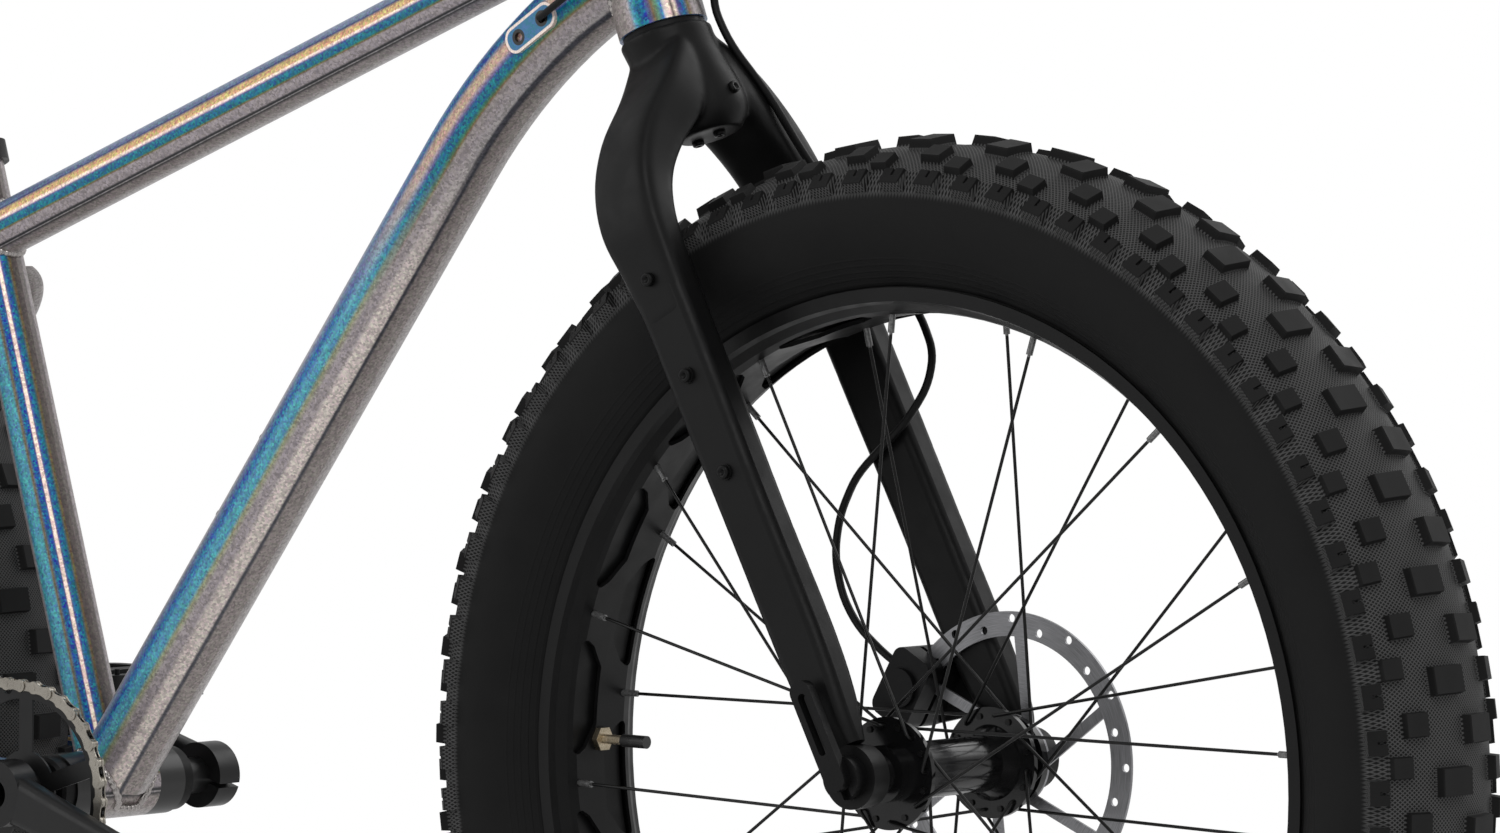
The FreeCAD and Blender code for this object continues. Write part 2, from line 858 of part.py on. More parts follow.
def hub(right, left, half_width, face, barrel, axle_bore, end_radius):
    """Turned hub shell with spoke flanges, drilled for spokes and rotor bolts."""
    half = flange_thickness / 2
    seat_start = face - rotor_seat_length
    spigot = rotor_hub_bore - fit_gap
    profile = (
        (axle_bore, -half_width),
        (end_radius, -half_width),
        (end_radius, -right - hub_shoulder),
        (barrel, -right - hub_shoulder + hub_chamfer),
        (barrel, -right - half),
        (flange_radius, -right - half),
        (flange_radius, -right + half),
        (flange_web_radius, -right + half),
        (barrel, -right + half + hub_cone),
        (barrel, left - half - hub_cone),
        (flange_web_radius, left - half),
        (flange_radius, left - half),
        (flange_radius, left + half),
        (barrel, left + half),
        (barrel, seat_start - hub_chamfer),
        (rotor_seat_radius, seat_start),
        (rotor_seat_radius, face),
        (spigot, face),
        (spigot, face + rotor_thickness),
        (hub_cap_radius, face + rotor_thickness + hub_chamfer),
        (hub_cap_radius, half_width),
        (axle_bore, half_width),
    )
    shell = turned(profile, ORIGIN, LEFT, FORE)
    cuts = []
    for hole, tip, facing in spoke_runs(right, left):
        cuts.append(rod(hole - LEFT * overrun, hole + LEFT * overrun, spoke_radius + spoke_bore_gap))
    way = FORE * (rotor_bolt_circle / 2)
    drill = rod(way + LEFT * seat_start, way + LEFT * (face + overrun), rotor_bolt_radius)
    cuts += around(drill, ORIGIN, LEFT, rotor_arms)
    return [shell.cut(Part.makeCompound(cuts))]


def rotor(radius, face):
    """Brake disc with leaning arms, vent holes and its six bolts."""
    base = LEFT * face
    thick = LEFT * rotor_thickness
    track = sleeve(base, base + thick, radius, radius - rotor_track)
    centre = sleeve(base, base + thick, rotor_hub_radius, rotor_hub_bore)
    start = FORE * (rotor_hub_radius - rotor_arm_width / 2)
    end = spin(rotor_arm_lean) * (radius - rotor_track + rotor_arm_width / 2)
    run = unit(end - start)
    side = run.cross(LEFT) * (rotor_arm_width / 2)
    corners = [base + start - side, base + start + side, base + end + side, base + end - side]
    arm = plate(Part.makePolygon(corners + corners[:1]), thick)
    disc = track.multiFuse([centre] + around(arm, ORIGIN, LEFT, rotor_arms))
    cuts = []
    for row, radius_share in enumerate(rotor_hole_shares):
        way = FORE * (radius - rotor_track * radius_share)
        hole = rod(base + way - thick, base + way + thick * 2, rotor_hole_radius)
        cuts += around(hole, ORIGIN, LEFT, rotor_waves, row * 180 / rotor_waves)
    way = base + FORE * (rotor_bolt_circle / 2)
    cuts += around(rod(way - thick, way + thick * 2, rotor_bolt_radius), ORIGIN, LEFT, rotor_arms)
    disc = disc.cut(Part.makeCompound(cuts)).removeSplitter()
    shank = rod(way - LEFT * (rotor_seat_length - rotor_thickness), way + thick, rotor_bolt_radius - fit_gap)
    head = rod(way + thick, way + thick + LEFT * bolt_head_height / 2, bolt_head_radius)
    return [disc] + around(shank.fuse(head), ORIGIN, LEFT, rotor_arms)


def valve():
    """Valve stem through the rim, with its plate nut and cap."""
    way = spin(valve_angle)
    inner = rim_inner_radius - seat_gap
    stem = rod(way * (inner - valve_length), way * (rim_well_radius + overrun / 2), valve_radius)
    nut_points = []
    for corner in range(6):
        turn = math.radians(corner * 60)
        side = LEFT * math.cos(turn) + way.cross(LEFT) * math.sin(turn)
        nut_points.append(way * inner + side * valve_nut_radius)
    nut = plate(Part.makePolygon(nut_points + nut_points[:1]), way * -valve_nut_height)
    nut = nut.cut(rod(way * (inner - overrun), way * (inner + overrun), valve_radius + fit_gap))
    cap_end = inner - valve_length - fit_gap
    cap = rod(way * (cap_end + valve_cap_length), way * (cap_end - valve_cap_radius), valve_cap_radius)
    cap = cap.cut(rod(way * cap_end, way * inner, valve_radius + fit_gap))
    return [stem, nut, cap]


def wheel_nodes():
    """Both wheels, set at their axles."""
    carcass = tyre()
    front_face = front_hub_width / 2 - front_rotor_inset - rotor_thickness / 2
    rear_face = rear_hub_width / 2 - rear_rotor_inset - rotor_thickness / 2
    front_hub = hub(front_flange_right, front_flange_left, front_hub_width / 2, front_face,
                    front_barrel_radius, front_axle_radius + fit_gap, hub_cap_radius)
    rear_hub = hub(rear_flange_right, rear_flange_left, rear_hub_width / 2, rear_face,
                   rear_barrel_radius, rear_axle_radius + fit_gap, rear_stub_radius)
    save("front_tyre", placed([carcass], front_axle))
    save("rear_tyre", placed([carcass], rear_axle))
    save("front_rim", placed(rim(front_flange_right, front_flange_left), front_axle))
    save("rear_rim", placed(rim(rear_flange_right, rear_flange_left), rear_axle))
    save("front_spokes", placed(spokes(front_flange_right, front_flange_left), front_axle))
    save("rear_spokes", placed(spokes(rear_flange_right, rear_flange_left), rear_axle))
    save("front_hub", placed(front_hub, front_axle))
    save("rear_hub", placed(rear_hub, rear_axle))
    save("front_rotor", placed(rotor(front_rotor_radius, front_face), front_axle))
    save("rear_rotor", placed(rotor(rear_rotor_radius, rear_face), rear_axle))
    save("front_valve", placed(valve(), front_axle))
    save("rear_valve", placed(valve(), rear_axle))


# Frame

down_tube_join = on_steerer(down_tube_meet)
top_tube_join = on_steerer(top_tube_meet)
top_tube_foot = seat_top - seat_up * top_tube_drop
down_tube_run = slope(down_tube_slope)


def down_tube_corner():
    """Where the lower run of the down tube meets the line of its upper run."""
    low = slope(down_tube_low_slope)
    across = down_tube_join - crank_axle
    along = (across.x * down_tube_run.z - across.z * down_tube_run.x)
    along /= low.x * down_tube_run.z - low.z * down_tube_run.x
    return crank_axle + low * along


def down_tube_path():
    """Centre line of the bent down tube, from just outside the shell to the steering axis."""
    start = crank_axle + slope(down_tube_low_slope) * (shell_radius / 2)
    return bent_path([start, down_tube_corner(), down_tube_join], down_tube_bend)


def head_body(grow):
    """Outside of the head tube, grown by a clearance where other tubes are mitred to it."""
    wide = head_tube_radius + grow
    narrow = head_tube_waist + grow
    profile = (
        (0, 0),
        (wide, 0),
        (wide, head_tube_flare),
        (narrow, 2 * head_tube_flare),
        (narrow, head_tube_length),
        (0, head_tube_length),
    )
    return turned(profile, head_foot, steer_up, steer_fore)


def seat_body(grow):
    """Outside of the seat tube, from the crank axle to its top."""
    return rod(crank_axle, seat_top, seat_tube_radius + grow)


def shell_body(grow):
    """Outside of the bottom bracket shell."""
    half = LEFT * shell_half_width
    return rod(crank_axle - half, crank_axle + half, shell_radius + grow)


def head_tube():
    """Head tube with its two bearing seats."""
    end = on_steerer(head_tube_length)
    low_seat = rod(head_foot - steer_up * overrun, on_steerer(bearing_height), bearing_low_radius + fit_gap)
    high_seat = rod(end - steer_up * bearing_height, end + steer_up * overrun, bearing_high_radius + fit_gap)
    bore = rod(head_foot, end, steerer_low_radius + steerer_gap)
    return [head_body(0).cut(low_seat.multiFuse([high_seat, bore]))]


def headset_bearings():
    """Lower and upper cartridge bearings in the head tube."""
    end = on_steerer(head_tube_length)
    low = sleeve(head_foot, on_steerer(bearing_height), bearing_low_radius, steerer_low_radius + fit_gap)
    high = sleeve(end - steer_up * bearing_height, end, bearing_high_radius, steerer_radius + fit_gap)
    return [low, high]


def top_tube():
    """Straight top tube, mitred to the seat, head and down tubes."""
    tube = sleeve(top_tube_foot, top_tube_join, top_tube_radius, top_tube_radius - top_tube_wall)
    for body in (seat_body(weld_gap), head_body(weld_gap)):
        tube = tube.cut(body)
    tube = tube.cut(swept(down_tube_path(), down_tube_radius + weld_gap))
    return [max(tube.Solids, key=lambda piece: piece.Volume)]


def bottle_points():
    """The two bottle bosses on the upper side of the down tube."""
    low = slope(down_tube_low_slope)
    up = slope(down_tube_low_slope + 90)
    places = (bottle_bolt_first, bottle_bolt_first + bottle_bolt_pitch)
    return [(crank_axle + low * place + up * down_tube_radius, up) for place in places]


def down_tube():
    """Bent down tube with its bottle bosses, mitred to the shell, seat and head tubes."""
    outside = swept(down_tube_path(), down_tube_radius)
    inside = swept(down_tube_path(), down_tube_radius - down_tube_wall)
    bosses = []
    bores = []
    for point, up in bottle_points():
        bosses.append(rod(point - up * boss_depth, point + up * fork_boss_rise, fork_boss_radius))
        bores.append(rod(point - up * (boss_depth + overrun), point + up * overrun, fork_boss_bore))
    tube = outside.cut(inside).multiFuse(bosses).cut(Part.makeCompound(bores))
    for body in (shell_body(weld_gap), seat_body(weld_gap), head_body(weld_gap)):
        tube = tube.cut(body)
    for side in (-1, 1):
        tube = tube.cut(rod(*port_axis(side), port_hole))
    return [max(tube.Solids, key=lambda piece: piece.Volume)]


def port_point(side):
    """Middle of the cable port on one flank of the down tube."""
    return down_tube_join - down_tube_run * port_place + LEFT * (side * down_tube_radius)


def port_axis(side):
    """The upper port hole, from inside the tube to outside."""
    point = port_point(side) + down_tube_run * (port_length * port_hole_share)
    return point - LEFT * (side * overrun), point + LEFT * (side * overrun)


def seat_tube():
    """Seat tube, bored for the post and mitred to the shell."""
    bore = seatpost_radius + fit_gap
    tube = sleeve(crank_axle, seat_top, seat_tube_radius, bore)
    tube = tube.cut(shell_body(weld_gap))
    return [max(tube.Solids, key=lambda piece: piece.Volume)]


def seat_collar():
    """Split collar round the top of the seat tube, with its pinch bolt."""
    low = seat_top - seat_up * collar_height
    inner = seat_tube_radius + fit_gap
    ring = rod(low, seat_top, inner + collar_wall)
    ear_start = low + seat_back * inner
    ear_half = (collar_height / 2, collar_ear)
    ear_foot = ear_start + seat_up * ear_half[0] - LEFT * ear_half[1]
    ear_reach = collar_wall + collar_ear
    ear = block(ear_foot, seat_back, seat_up, ear_reach, ear_half[0], collar_slot, LEFT * (2 * ear_half[1]))
    slot_foot = ear_foot + LEFT * (ear_half[1] - collar_slot / 2)
    slot_run = LEFT * collar_slot
    slot = block(slot_foot, seat_back, seat_up, ear_reach + overrun, collar_height, collar_slot / 2, slot_run)
    bolt_centre = ear_start + seat_up * ear_half[0] + seat_back * (collar_wall + collar_ear / 2)
    reach = LEFT * ear_half[1]
    body = ring.fuse(ear).cut(rod(low - seat_up * overrun, seat_top + seat_up * overrun, inner))
    body = body.cut(slot).cut(rod(bolt_centre - reach * 2, bolt_centre + reach * 2, bolt_radius + fit_gap))
    bolt = rod(bolt_centre - reach, bolt_centre + reach, bolt_radius)
    head = rod(bolt_centre - reach, bolt_centre - reach - LEFT * bolt_head_height, bolt_head_radius)
    return [body, bolt.fuse(head)]


def bottom_bracket_cups():
    """Two bearing cups pressed into the shell, with their outer flanges."""
    profile = (
        (spindle_radius + fit_gap, shell_half_width - cup_width),
        (shell_bore - fit_gap, shell_half_width - cup_width),
        (shell_bore - fit_gap, shell_half_width),
        (cup_radius, shell_half_width),
        (cup_radius, shell_half_width + cup_width - cup_chamfer),
        (cup_radius - cup_chamfer, shell_half_width + cup_width),
        (spindle_radius + fit_gap, shell_half_width + cup_width),
    )
    return both_sides(turned(profile, crank_axle, LEFT, FORE))


def bottom_bracket_shell():
    """Shell that the bearing cups press into."""
    half = LEFT * shell_half_width
    return [sleeve(crank_axle - half, crank_axle + half, shell_radius, shell_bore)]


def chainstays():
    """Left and right chainstays, bowed out round the tyre and in at the chainring."""
    start = crank_axle + FORE * -chainstay_start
    end = rear_axle + FORE * dropout_reach - UP * chainstay_end_drop
    sections = []
    for place, share in enumerate(chainstay_along_shares):
        half_width = chainstay_half_widths[place]
        half_height = chainstay_half_heights[place]
        corner = stay_corner_share * min(half_width, half_height)
        centre = start + (end - start) * share + LEFT * chainstay_across[place]
        sections.append(section(centre, LEFT, UP, half_width, half_height, corner))
    stay = loft(sections).cut(shell_body(weld_gap))
    return both_sides(max(stay.Solids, key=lambda piece: piece.Volume))


def seatstays():
    """Left and right seatstays, wide round the tyre and drawn in to the seat tube, with a bridge."""
    foot = rear_axle + FORE * seatstay_foot_fore + UP * dropout_height
    head = top_tube_foot - UP * seatstay_join_drop
    sections = []
    for place, share in enumerate(seatstay_up_shares):
        half_width = seatstay_half_widths[place]
        half_depth = seatstay_half_depths[place]
        corner = stay_corner_share * min(half_width, half_depth)
        centre = foot + (head - foot) * share + LEFT * seatstay_across[place]
        sections.append(section(centre, FORE, LEFT, half_depth, half_width, corner))
    stay = loft(sections).cut(seat_body(weld_gap))
    return both_sides(max(stay.Solids, key=lambda piece: piece.Volume))


def dropout_wire():
    """Outline of a rear dropout plate about the axle."""
    points = []
    for fore, up in dropout_shares:
        points.append(rear_axle + FORE * (fore * dropout_reach) + UP * (up * dropout_height))
    return rounded(points, dropout_corner)


def hanger_point():
    """Middle of the derailleur bolt below the right dropout."""
    return rear_axle + FORE * -hanger_back - UP * hanger_reach


def dropouts():
    """Rear dropout plates, and the hanger bolted to the right one."""
    inner = rear_hub_width / 2 + fit_gap
    outline = dropout_wire()
    outline.translate(LEFT * inner)
    drop = plate(outline, LEFT * dropout_thickness)
    drop = drop.cut(rod(rear_axle, rear_axle + LEFT * (inner * 2), rear_axle_radius + fit_gap))
    pair = both_sides(drop)
    centre, out, along = caliper_frame(rear_axle, rear_caliper_angle, rear_rotor_radius)
    half = along * (caliper_length * caliper_bolt_share + bolt_head_radius * 2)
    points = [rear_axle, centre - half, centre - half + out * (bolt_head_radius * 2)]
    points += [centre + half + out * (bolt_head_radius * 2), centre + half]
    tab_wire = rounded(points, bolt_head_radius)
    tab_wire.translate(LEFT * inner)
    tab = plate(tab_wire, LEFT * dropout_thickness)
    tab = tab.cut(rod(rear_axle, rear_axle + LEFT * (inner * 2), rear_axle_radius + fit_gap))
    for point in caliper_bolts(centre, along, rear_rotor_place):
        tab = tab.cut(rod(point - LEFT * overrun, point + LEFT * inner, bolt_radius + fit_gap))
    pair[0] = pair[0].fuse(tab)
    low = hanger_point()
    side = FORE * (hanger_width / 2)
    top = rear_axle - UP * (dropout_height * -dropout_shares[0][1]) - UP * weld_gap
    foot = low - UP * (hanger_width / 2)
    points = [top - side * 2, top + side, foot + side, foot - side]
    hanger_wire = rounded(points, dropout_corner / 2)
    hanger_wire.translate(LEFT * -(inner + dropout_thickness))
    hanger = plate(hanger_wire, LEFT * dropout_thickness)
    hanger = hanger.cut(rod(low - LEFT * (inner * 2), low, hanger_bore + fit_gap))
    return pair + [hanger]


def rear_axle_rod():
    """Thru axle of the rear wheel with its head."""
    outer = rear_hub_width / 2 + fit_gap + dropout_thickness
    start = rear_axle - LEFT * outer
    end = rear_axle + LEFT * outer
    head = rod(end, end + LEFT * axle_head_length, axle_head_radius)
    socket_foot = end + LEFT * (axle_head_length / 2)
    socket = rod(socket_foot, socket_foot + LEFT * axle_head_length, bolt_head_radius)
    return [rod(start, end, rear_axle_radius).fuse(head.cut(socket))]


# Fork

leg_up = slope(90 + leg_lean)
leg_fore = slope(leg_lean)


def on_leg(height, fore=0.0, across=0.0):
    """Point beside the left leg's line through the front axle."""
    return front_axle + leg_up * height + leg_fore * fore + LEFT * across


def fork_leg():
    """Left leg: from the axle end up, over the shoulder and in to the crown's middle."""
    sections = []
    for place, height in enumerate(leg_heights):
        half_thickness = (leg_outer[place] - leg_inner[place]) / 2
        centre = on_leg(height, 0, (leg_outer[place] + leg_inner[place]) / 2)
        sections.append(section(centre, LEFT, leg_fore, half_thickness, leg_half_depths[place], leg_corner))
    arch = on_leg(arch_height, 0, arch_across)
    slant = unit(LEFT + leg_up)
    sections.append(section(arch, slant, leg_fore, arch_half_thickness, arch_half_depth, leg_corner))
    middle = on_leg(crown_height, crown_fore)
    sections.append(section(middle, leg_up, leg_fore, crown_half_height, crown_half_depth, leg_corner))
    return loft(sections)


def fork():
    """Fork with legs, crown, neck, axle ends and mounting bosses, and its tapered steerer."""
    leg = fork_leg()
    inner = front_hub_width / 2 + fit_gap
    end = rod(front_axle + LEFT * inner, front_axle + LEFT * (inner + fork_end_thickness), fork_end_radius)
    half = leg.fuse(end)
    bores = []
    for step in range(fork_boss_count):
        height = fork_boss_start + step * fork_boss_pitch
        face = on_leg(height, 0, leg_outer[1])
        half = half.fuse(rod(face - LEFT * fork_boss_depth, face + LEFT * fork_boss_rise, fork_boss_radius))
        bores.append(rod(face - LEFT * fork_boss_depth, face + LEFT * overrun, fork_boss_bore))
    bores.append(rod(front_axle, front_axle + LEFT * (2 * inner), front_axle_radius + fit_gap))
    half = half.cut(Part.makeCompound(bores))
    top = -lower_stack
    neck = turned(
        (
            (0, top),
            (crown_top_radius, top),
            (crown_neck_radius, top - crown_neck_depth),
            (crown_root_radius, top - crown_depth),
            (0, top - crown_depth),
        ),
        head_foot, steer_up, steer_fore,
    )
    body = half.multiFuse([half.mirror(ORIGIN, LEFT), neck])
    body = body.fuse(front_caliper_tab())
    steerer_top = head_tube_length + upper_stack + spacer_height + stem_height - fit_gap
    profile = (
        (0, top),
        (steerer_low_radius, top),
        (steerer_low_radius, bearing_height + lower_stack),
        (steerer_radius, head_tube_length / 2),
        (steerer_radius, steerer_top),
        (0, steerer_top),
    )
    steerer = turned(profile, head_foot, steer_up, steer_fore)
    bore = rod(on_steerer(top), on_steerer(steerer_top + overrun), steerer_radius - steerer_wall)
    return [body, steerer.cut(bore)]


def caliper_frame(axle, angle, radius):
    """Centre of a brake caliper over its rotor, with its outward and forward directions."""
    out = spin(angle)
    return axle + out * (radius * caliper_reach_share), out, spin(angle - 90)


front_rotor_place = front_hub_width / 2 - front_rotor_inset
rear_rotor_place = rear_hub_width / 2 - rear_rotor_inset


def caliper_bolts(centre, along, place):
    """Where the two mounting bolts of a caliper meet its outer face."""
    face = centre + LEFT * (place + caliper_width / 2)
    return [face + along * (sign * caliper_length * caliper_bolt_share) for sign in (-1, 1)]


def front_caliper_tab():
    """Tab behind the left leg that carries the front caliper, drilled for its bolts."""
    centre, out, along = caliper_frame(front_axle, front_caliper_angle, front_rotor_radius)
    face = front_rotor_place + caliper_width / 2 + fit_gap
    half = along * (caliper_length * caliper_bolt_share + bolt_head_radius * 2)
    back = out * (bolt_head_radius * 2)
    low = on_leg(tab_low_height)
    high = on_leg(tab_high_height)
    points = [low, centre - half - back, centre - half + back, centre + half + back, high]
    outline = rounded(points, bolt_head_radius)
    outline.translate(LEFT * face)
    tab = plate(outline, LEFT * tab_thickness)
    for point in caliper_bolts(centre, along, front_rotor_place):
        tab = tab.cut(rod(point - LEFT * overrun, point + LEFT * (2 * tab_thickness), bolt_radius + fit_gap))
    return tab


def caliper(centre, out, along, place, rotor_radius, tab_depth):
    """Brake caliper straddling its rotor, its two pads and its mounting bolts."""
    base = centre + LEFT * (place - caliper_width / 2)
    half_length = caliper_length / 2
    body = block(base, along, out, half_length, caliper_height / 2, caliper_corner, LEFT * caliper_width)
    body = body.fuse(rod(base, base - LEFT * piston_stand, piston_radius))
    reach = rotor_radius * (1 - caliper_reach_share) + rotor_edge_gap
    depth = (caliper_height / 2 + overrun + reach) / 2
    slot_base = centre + LEFT * (place - caliper_slot / 2) + out * (reach - depth)
    slot = block(slot_base, along, out, caliper_length, depth, fit_gap, LEFT * caliper_slot)
    pocket_base = centre + LEFT * (place - pocket_half)
    pocket = block(pocket_base, along, out, pad_length / 2 + fit_gap, pad_height / 2 + fit_gap, pad_gap,
                   LEFT * (2 * pocket_half))
    solids = []
    for sign in (-1, 1):
        near = rotor_thickness / 2 + pad_gap
        foot = centre + LEFT * (place + sign * near)
        thickness = LEFT * (sign * (pocket_half - near - fit_gap))
        solids.append(block(foot, along, out, pad_length / 2, pad_height / 2, pad_gap, thickness))
    body = body.cut(slot).cut(pocket)
    for point in caliper_bolts(centre, along, place):
        inner = point - LEFT * caliper_bolt_depth
        outer = point + LEFT * (tab_depth + fit_gap)
        body = body.cut(rod(inner, outer, bolt_radius + fit_gap))
        head = rod(outer, outer + LEFT * bolt_head_height, bolt_head_radius)
        solids.append(rod(inner, outer, bolt_radius).fuse(head))
    return [body] + solids


def calipers():
    """Front caliper behind the left leg, and rear caliper between the left stays."""
    centre, out, along = caliper_frame(front_axle, front_caliper_angle, front_rotor_radius)
    front = caliper(centre, out, along, front_rotor_place, front_rotor_radius, tab_thickness)
    save("front_caliper", front)
    centre, out, along = caliper_frame(rear_axle, rear_caliper_angle, rear_rotor_radius)
    rear = caliper(centre, out, along, rear_rotor_place, rear_rotor_radius, dropout_thickness)
    save("rear_caliper", rear)


def front_axle_rod():
    """Thru axle of the front wheel."""
    inner = front_hub_width / 2 + fit_gap + fork_end_thickness
    start = front_axle - LEFT * (inner + axle_head_length)
    end = front_axle + LEFT * (inner + axle_tip)
    collar = rod(front_axle - LEFT * inner, start, axle_head_radius)
    shank = rod(start, end, front_axle_radius)
    fork_gap = LEFT * (axle_head_length / 2)
    slot_half = lever_thickness / 2 + fit_gap
    slot = block(start - LEFT * fit_gap, leg_up, leg_fore, axle_head_radius * 2, slot_half, fit_gap, fork_gap)
    return [shank.fuse(collar).cut(slot)]


def axle_lever():
    """Slotted lever at the right end of the front axle."""
    inner = front_hub_width / 2 + fit_gap + fork_end_thickness
    base = front_axle - LEFT * (inner + axle_head_length + fit_gap)
    centre = base + leg_up * (lever_length / 2 - lever_width / 2)
    corner = lever_width * lever_corner_share
    run = LEFT * -lever_thickness
    blade = block(centre, leg_up, leg_fore, lever_length / 2, lever_width / 2, corner, run)
    window = block(centre + leg_up * lever_width / 2, leg_up, leg_fore, lever_length * lever_window_share,
                   lever_slot_width / 2, lever_slot_width * lever_corner_share, LEFT * -lever_thickness)
    return [blade.cut(window)]


# Drive train

driven_teeth = cassette_teeth[driven_sprocket]
chain_plane = LEFT * -chain_line


def pitch_radius(teeth):
    """Radius of the circle that a sprocket's rollers lie on."""
    return chain_pitch / (2 * math.sin(math.pi / teeth))


def guide_centre():
    """Upper pulley, which is also the cage's pivot."""
    return rear_axle + FORE * -pulley_lag - UP * pulley_distance


def tension_centre(angle):
    """Lower pulley, from the cage's angle."""
    return guide_centre() + slope(angle) * cage_length


def rotated(direction, angle):
    """A direction in the middle plane turned by an angle in radians, from forward to up."""
    x = direction.x * math.cos(angle) - direction.z * math.sin(angle)
    z = direction.x * math.sin(angle) + direction.z * math.cos(angle)
    return Vector(x, 0, z)


def chain_wheels(angle):
    """Sprockets in the order that the chain passes them: centre, pitch radius and turning sense."""
    return (
        (crank_axle, pitch_radius(chainring_teeth), -1),
        (tension_centre(angle), pitch_radius(pulley_teeth), -1),
        (guide_centre(), pitch_radius(pulley_teeth), 1),
        (rear_axle, pitch_radius(driven_teeth), -1),
    )


def chain_route(angle):
    """Straight runs and arcs of the chain: length, kind, start, then a run's way or an arc's centre and curve."""
    wheels = chain_wheels(angle)
    tangents = []
    for place, (centre, radius, sense) in enumerate(wheels):
        far_centre, far_radius, far_sense = wheels[(place + 1) % len(wheels)]
        across = far_centre - centre
        offset = far_sense * far_radius - sense * radius
        run_length = math.sqrt(across.Length**2 - offset**2)
        run = rotated(unit(across), -math.atan2(offset, run_length))
        normal = rotated(run, math.pi / 2)
        leaves = centre - normal * (sense * radius)
        arrives = far_centre - normal * (far_sense * far_radius)
        tangents.append((leaves, run, run_length, arrives))
    pieces = []
    for place, (start, run, length, end) in enumerate(tangents):
        pieces.append((length, "run", start, run, None))
        far_centre, far_radius, far_sense = wheels[(place + 1) % len(wheels)]
        leaving = tangents[(place + 1) % len(tangents)][0]
        first = end - far_centre
        last = leaving - far_centre
        across = first.x * last.z - first.z * last.x
        along = first.x * last.x + first.z * last.z
        turn = math.atan2(across, along) * far_sense % (2 * math.pi)
        pieces.append((turn * far_radius, "arc", first, far_centre, far_sense / far_radius))
    return pieces


def route_point(pieces, along):
    """Point of the chain's line at a length along it."""
    total = sum(piece[0] for piece in pieces)
    along = along % total
    for length, kind, start, other, curve in pieces:
        if along <= length:
            if kind == "run":
                return start + other * along
            return other + rotated(start, along * curve)
        along -= length
    return route_point(pieces, 0)


def walk(pieces, links):
    """Lengths along the line of successive pins, one chain pitch apart, and the length left over."""
    total = sum(piece[0] for piece in pieces)
    places = [0.0]
    for link in range(links):
        here = route_point(pieces, places[-1])
        low = places[-1] + chain_pitch * walk_span_shares[0]
        high = places[-1] + chain_pitch * walk_span_shares[1]
        for halving in range(halvings):
            middle = (low + high) / 2
            if (route_point(pieces, middle) - here).Length < chain_pitch:
                low = middle
            else:
                high = middle
        places.append(low)
    return places, total - places[-1]


def chain_fit():
    """Cage angle at which an even number of links closes the chain, and the pins' points."""
    total = sum(piece[0] for piece in chain_route(cage_angle))
    links = 2 * round(total / chain_pitch / 2)
    low, high = cage_angle - cage_angle_span, cage_angle + cage_angle_span
    low_left = walk(chain_route(low), links)[1]
    for halving in range(halvings):
        middle = (low + high) / 2
        left = walk(chain_route(middle), links)[1]
        if left * low_left > 0:
            low = middle
        else:
            high = middle
    pieces = chain_route(low)
    places = walk(pieces, links)[0]
    return low, [route_point(pieces, place) for place in places[:links]]


fitted_angle, pins = chain_fit()


def roller_phase(centre, radius):
    """Angle of one roller that lies on a sprocket's pitch circle."""
    best = min(pins, key=lambda pin: abs((pin - centre).Length - radius))
    return math.degrees(math.atan2((best - centre).z, (best - centre).x))


def toothed(centre, teeth, phase, across):
    """Outline of a sprocket: a seat for each roller and a tooth between seats."""
    radius = pitch_radius(teeth)
    seat = roller_radius + tooth_gap
    tip = radius + tooth_tip_height
    tip_turn = math.degrees(tooth_tip_half / tip)
    lean = math.radians(tooth_seat_turn)
    step = 360 / teeth
    edges = []
    for tooth in range(teeth):
        angle = phase + tooth * step
        out = spin(angle)
        along = spin(angle + 90)
        roller = centre + out * radius + across
        start = roller - along * (seat * math.sin(lean)) - out * (seat * math.cos(lean))
        end = roller + along * (seat * math.sin(lean)) - out * (seat * math.cos(lean))
        near = centre + spin(angle + step / 2 - tip_turn) * tip + across
        far = centre + spin(angle + step / 2 + tip_turn) * tip + across
        following = spin(angle + step)
        next_along = spin(angle + step + 90)
        next_roller = centre + following * radius + across
        next_start = next_roller - next_along * (seat * math.sin(lean)) - following * (seat * math.cos(lean))
        edges.append(Part.Arc(start, roller - out * seat, end).toShape())
        edges.append(Part.LineSegment(end, near).toShape())
        edges.append(Part.LineSegment(near, far).toShape())
        edges.append(Part.LineSegment(far, next_start).toShape())
    return Part.Wire(edges)


def sprocket(centre, teeth, phase, place, bore):
    """Toothed disc of one thickness at a place across, with a round bore."""
    base = LEFT * (place - tooth_half_thickness)
    thick = LEFT * (2 * tooth_half_thickness)
    disc = plate(toothed(centre, teeth, phase, base), thick)
    return disc.cut(rod(centre + base - thick, centre + base + thick * 2, bore))


def chain_plate(first, last, place, thickness):
    """Side plate of one link, waisted between its two pins."""
    run = unit(last - first)
    side = run.cross(LEFT)
    middle = (first + last) / 2
    edges = []
    low_first = first - side * plate_radius
    high_first = first + side * plate_radius
    low_last = last - side * plate_radius
    high_last = last + side * plate_radius
    edges.append(Part.Arc(high_first, first - run * plate_radius, low_first).toShape())
    edges.append(Part.Arc(low_first, middle - side * plate_waist, low_last).toShape())
    edges.append(Part.Arc(low_last, last + run * plate_radius, high_last).toShape())
    edges.append(Part.Arc(high_last, middle + side * plate_waist, high_first).toShape())
    wire = Part.Wire(edges)
    wire.translate(LEFT * place)
    return plate(wire, LEFT * thickness)


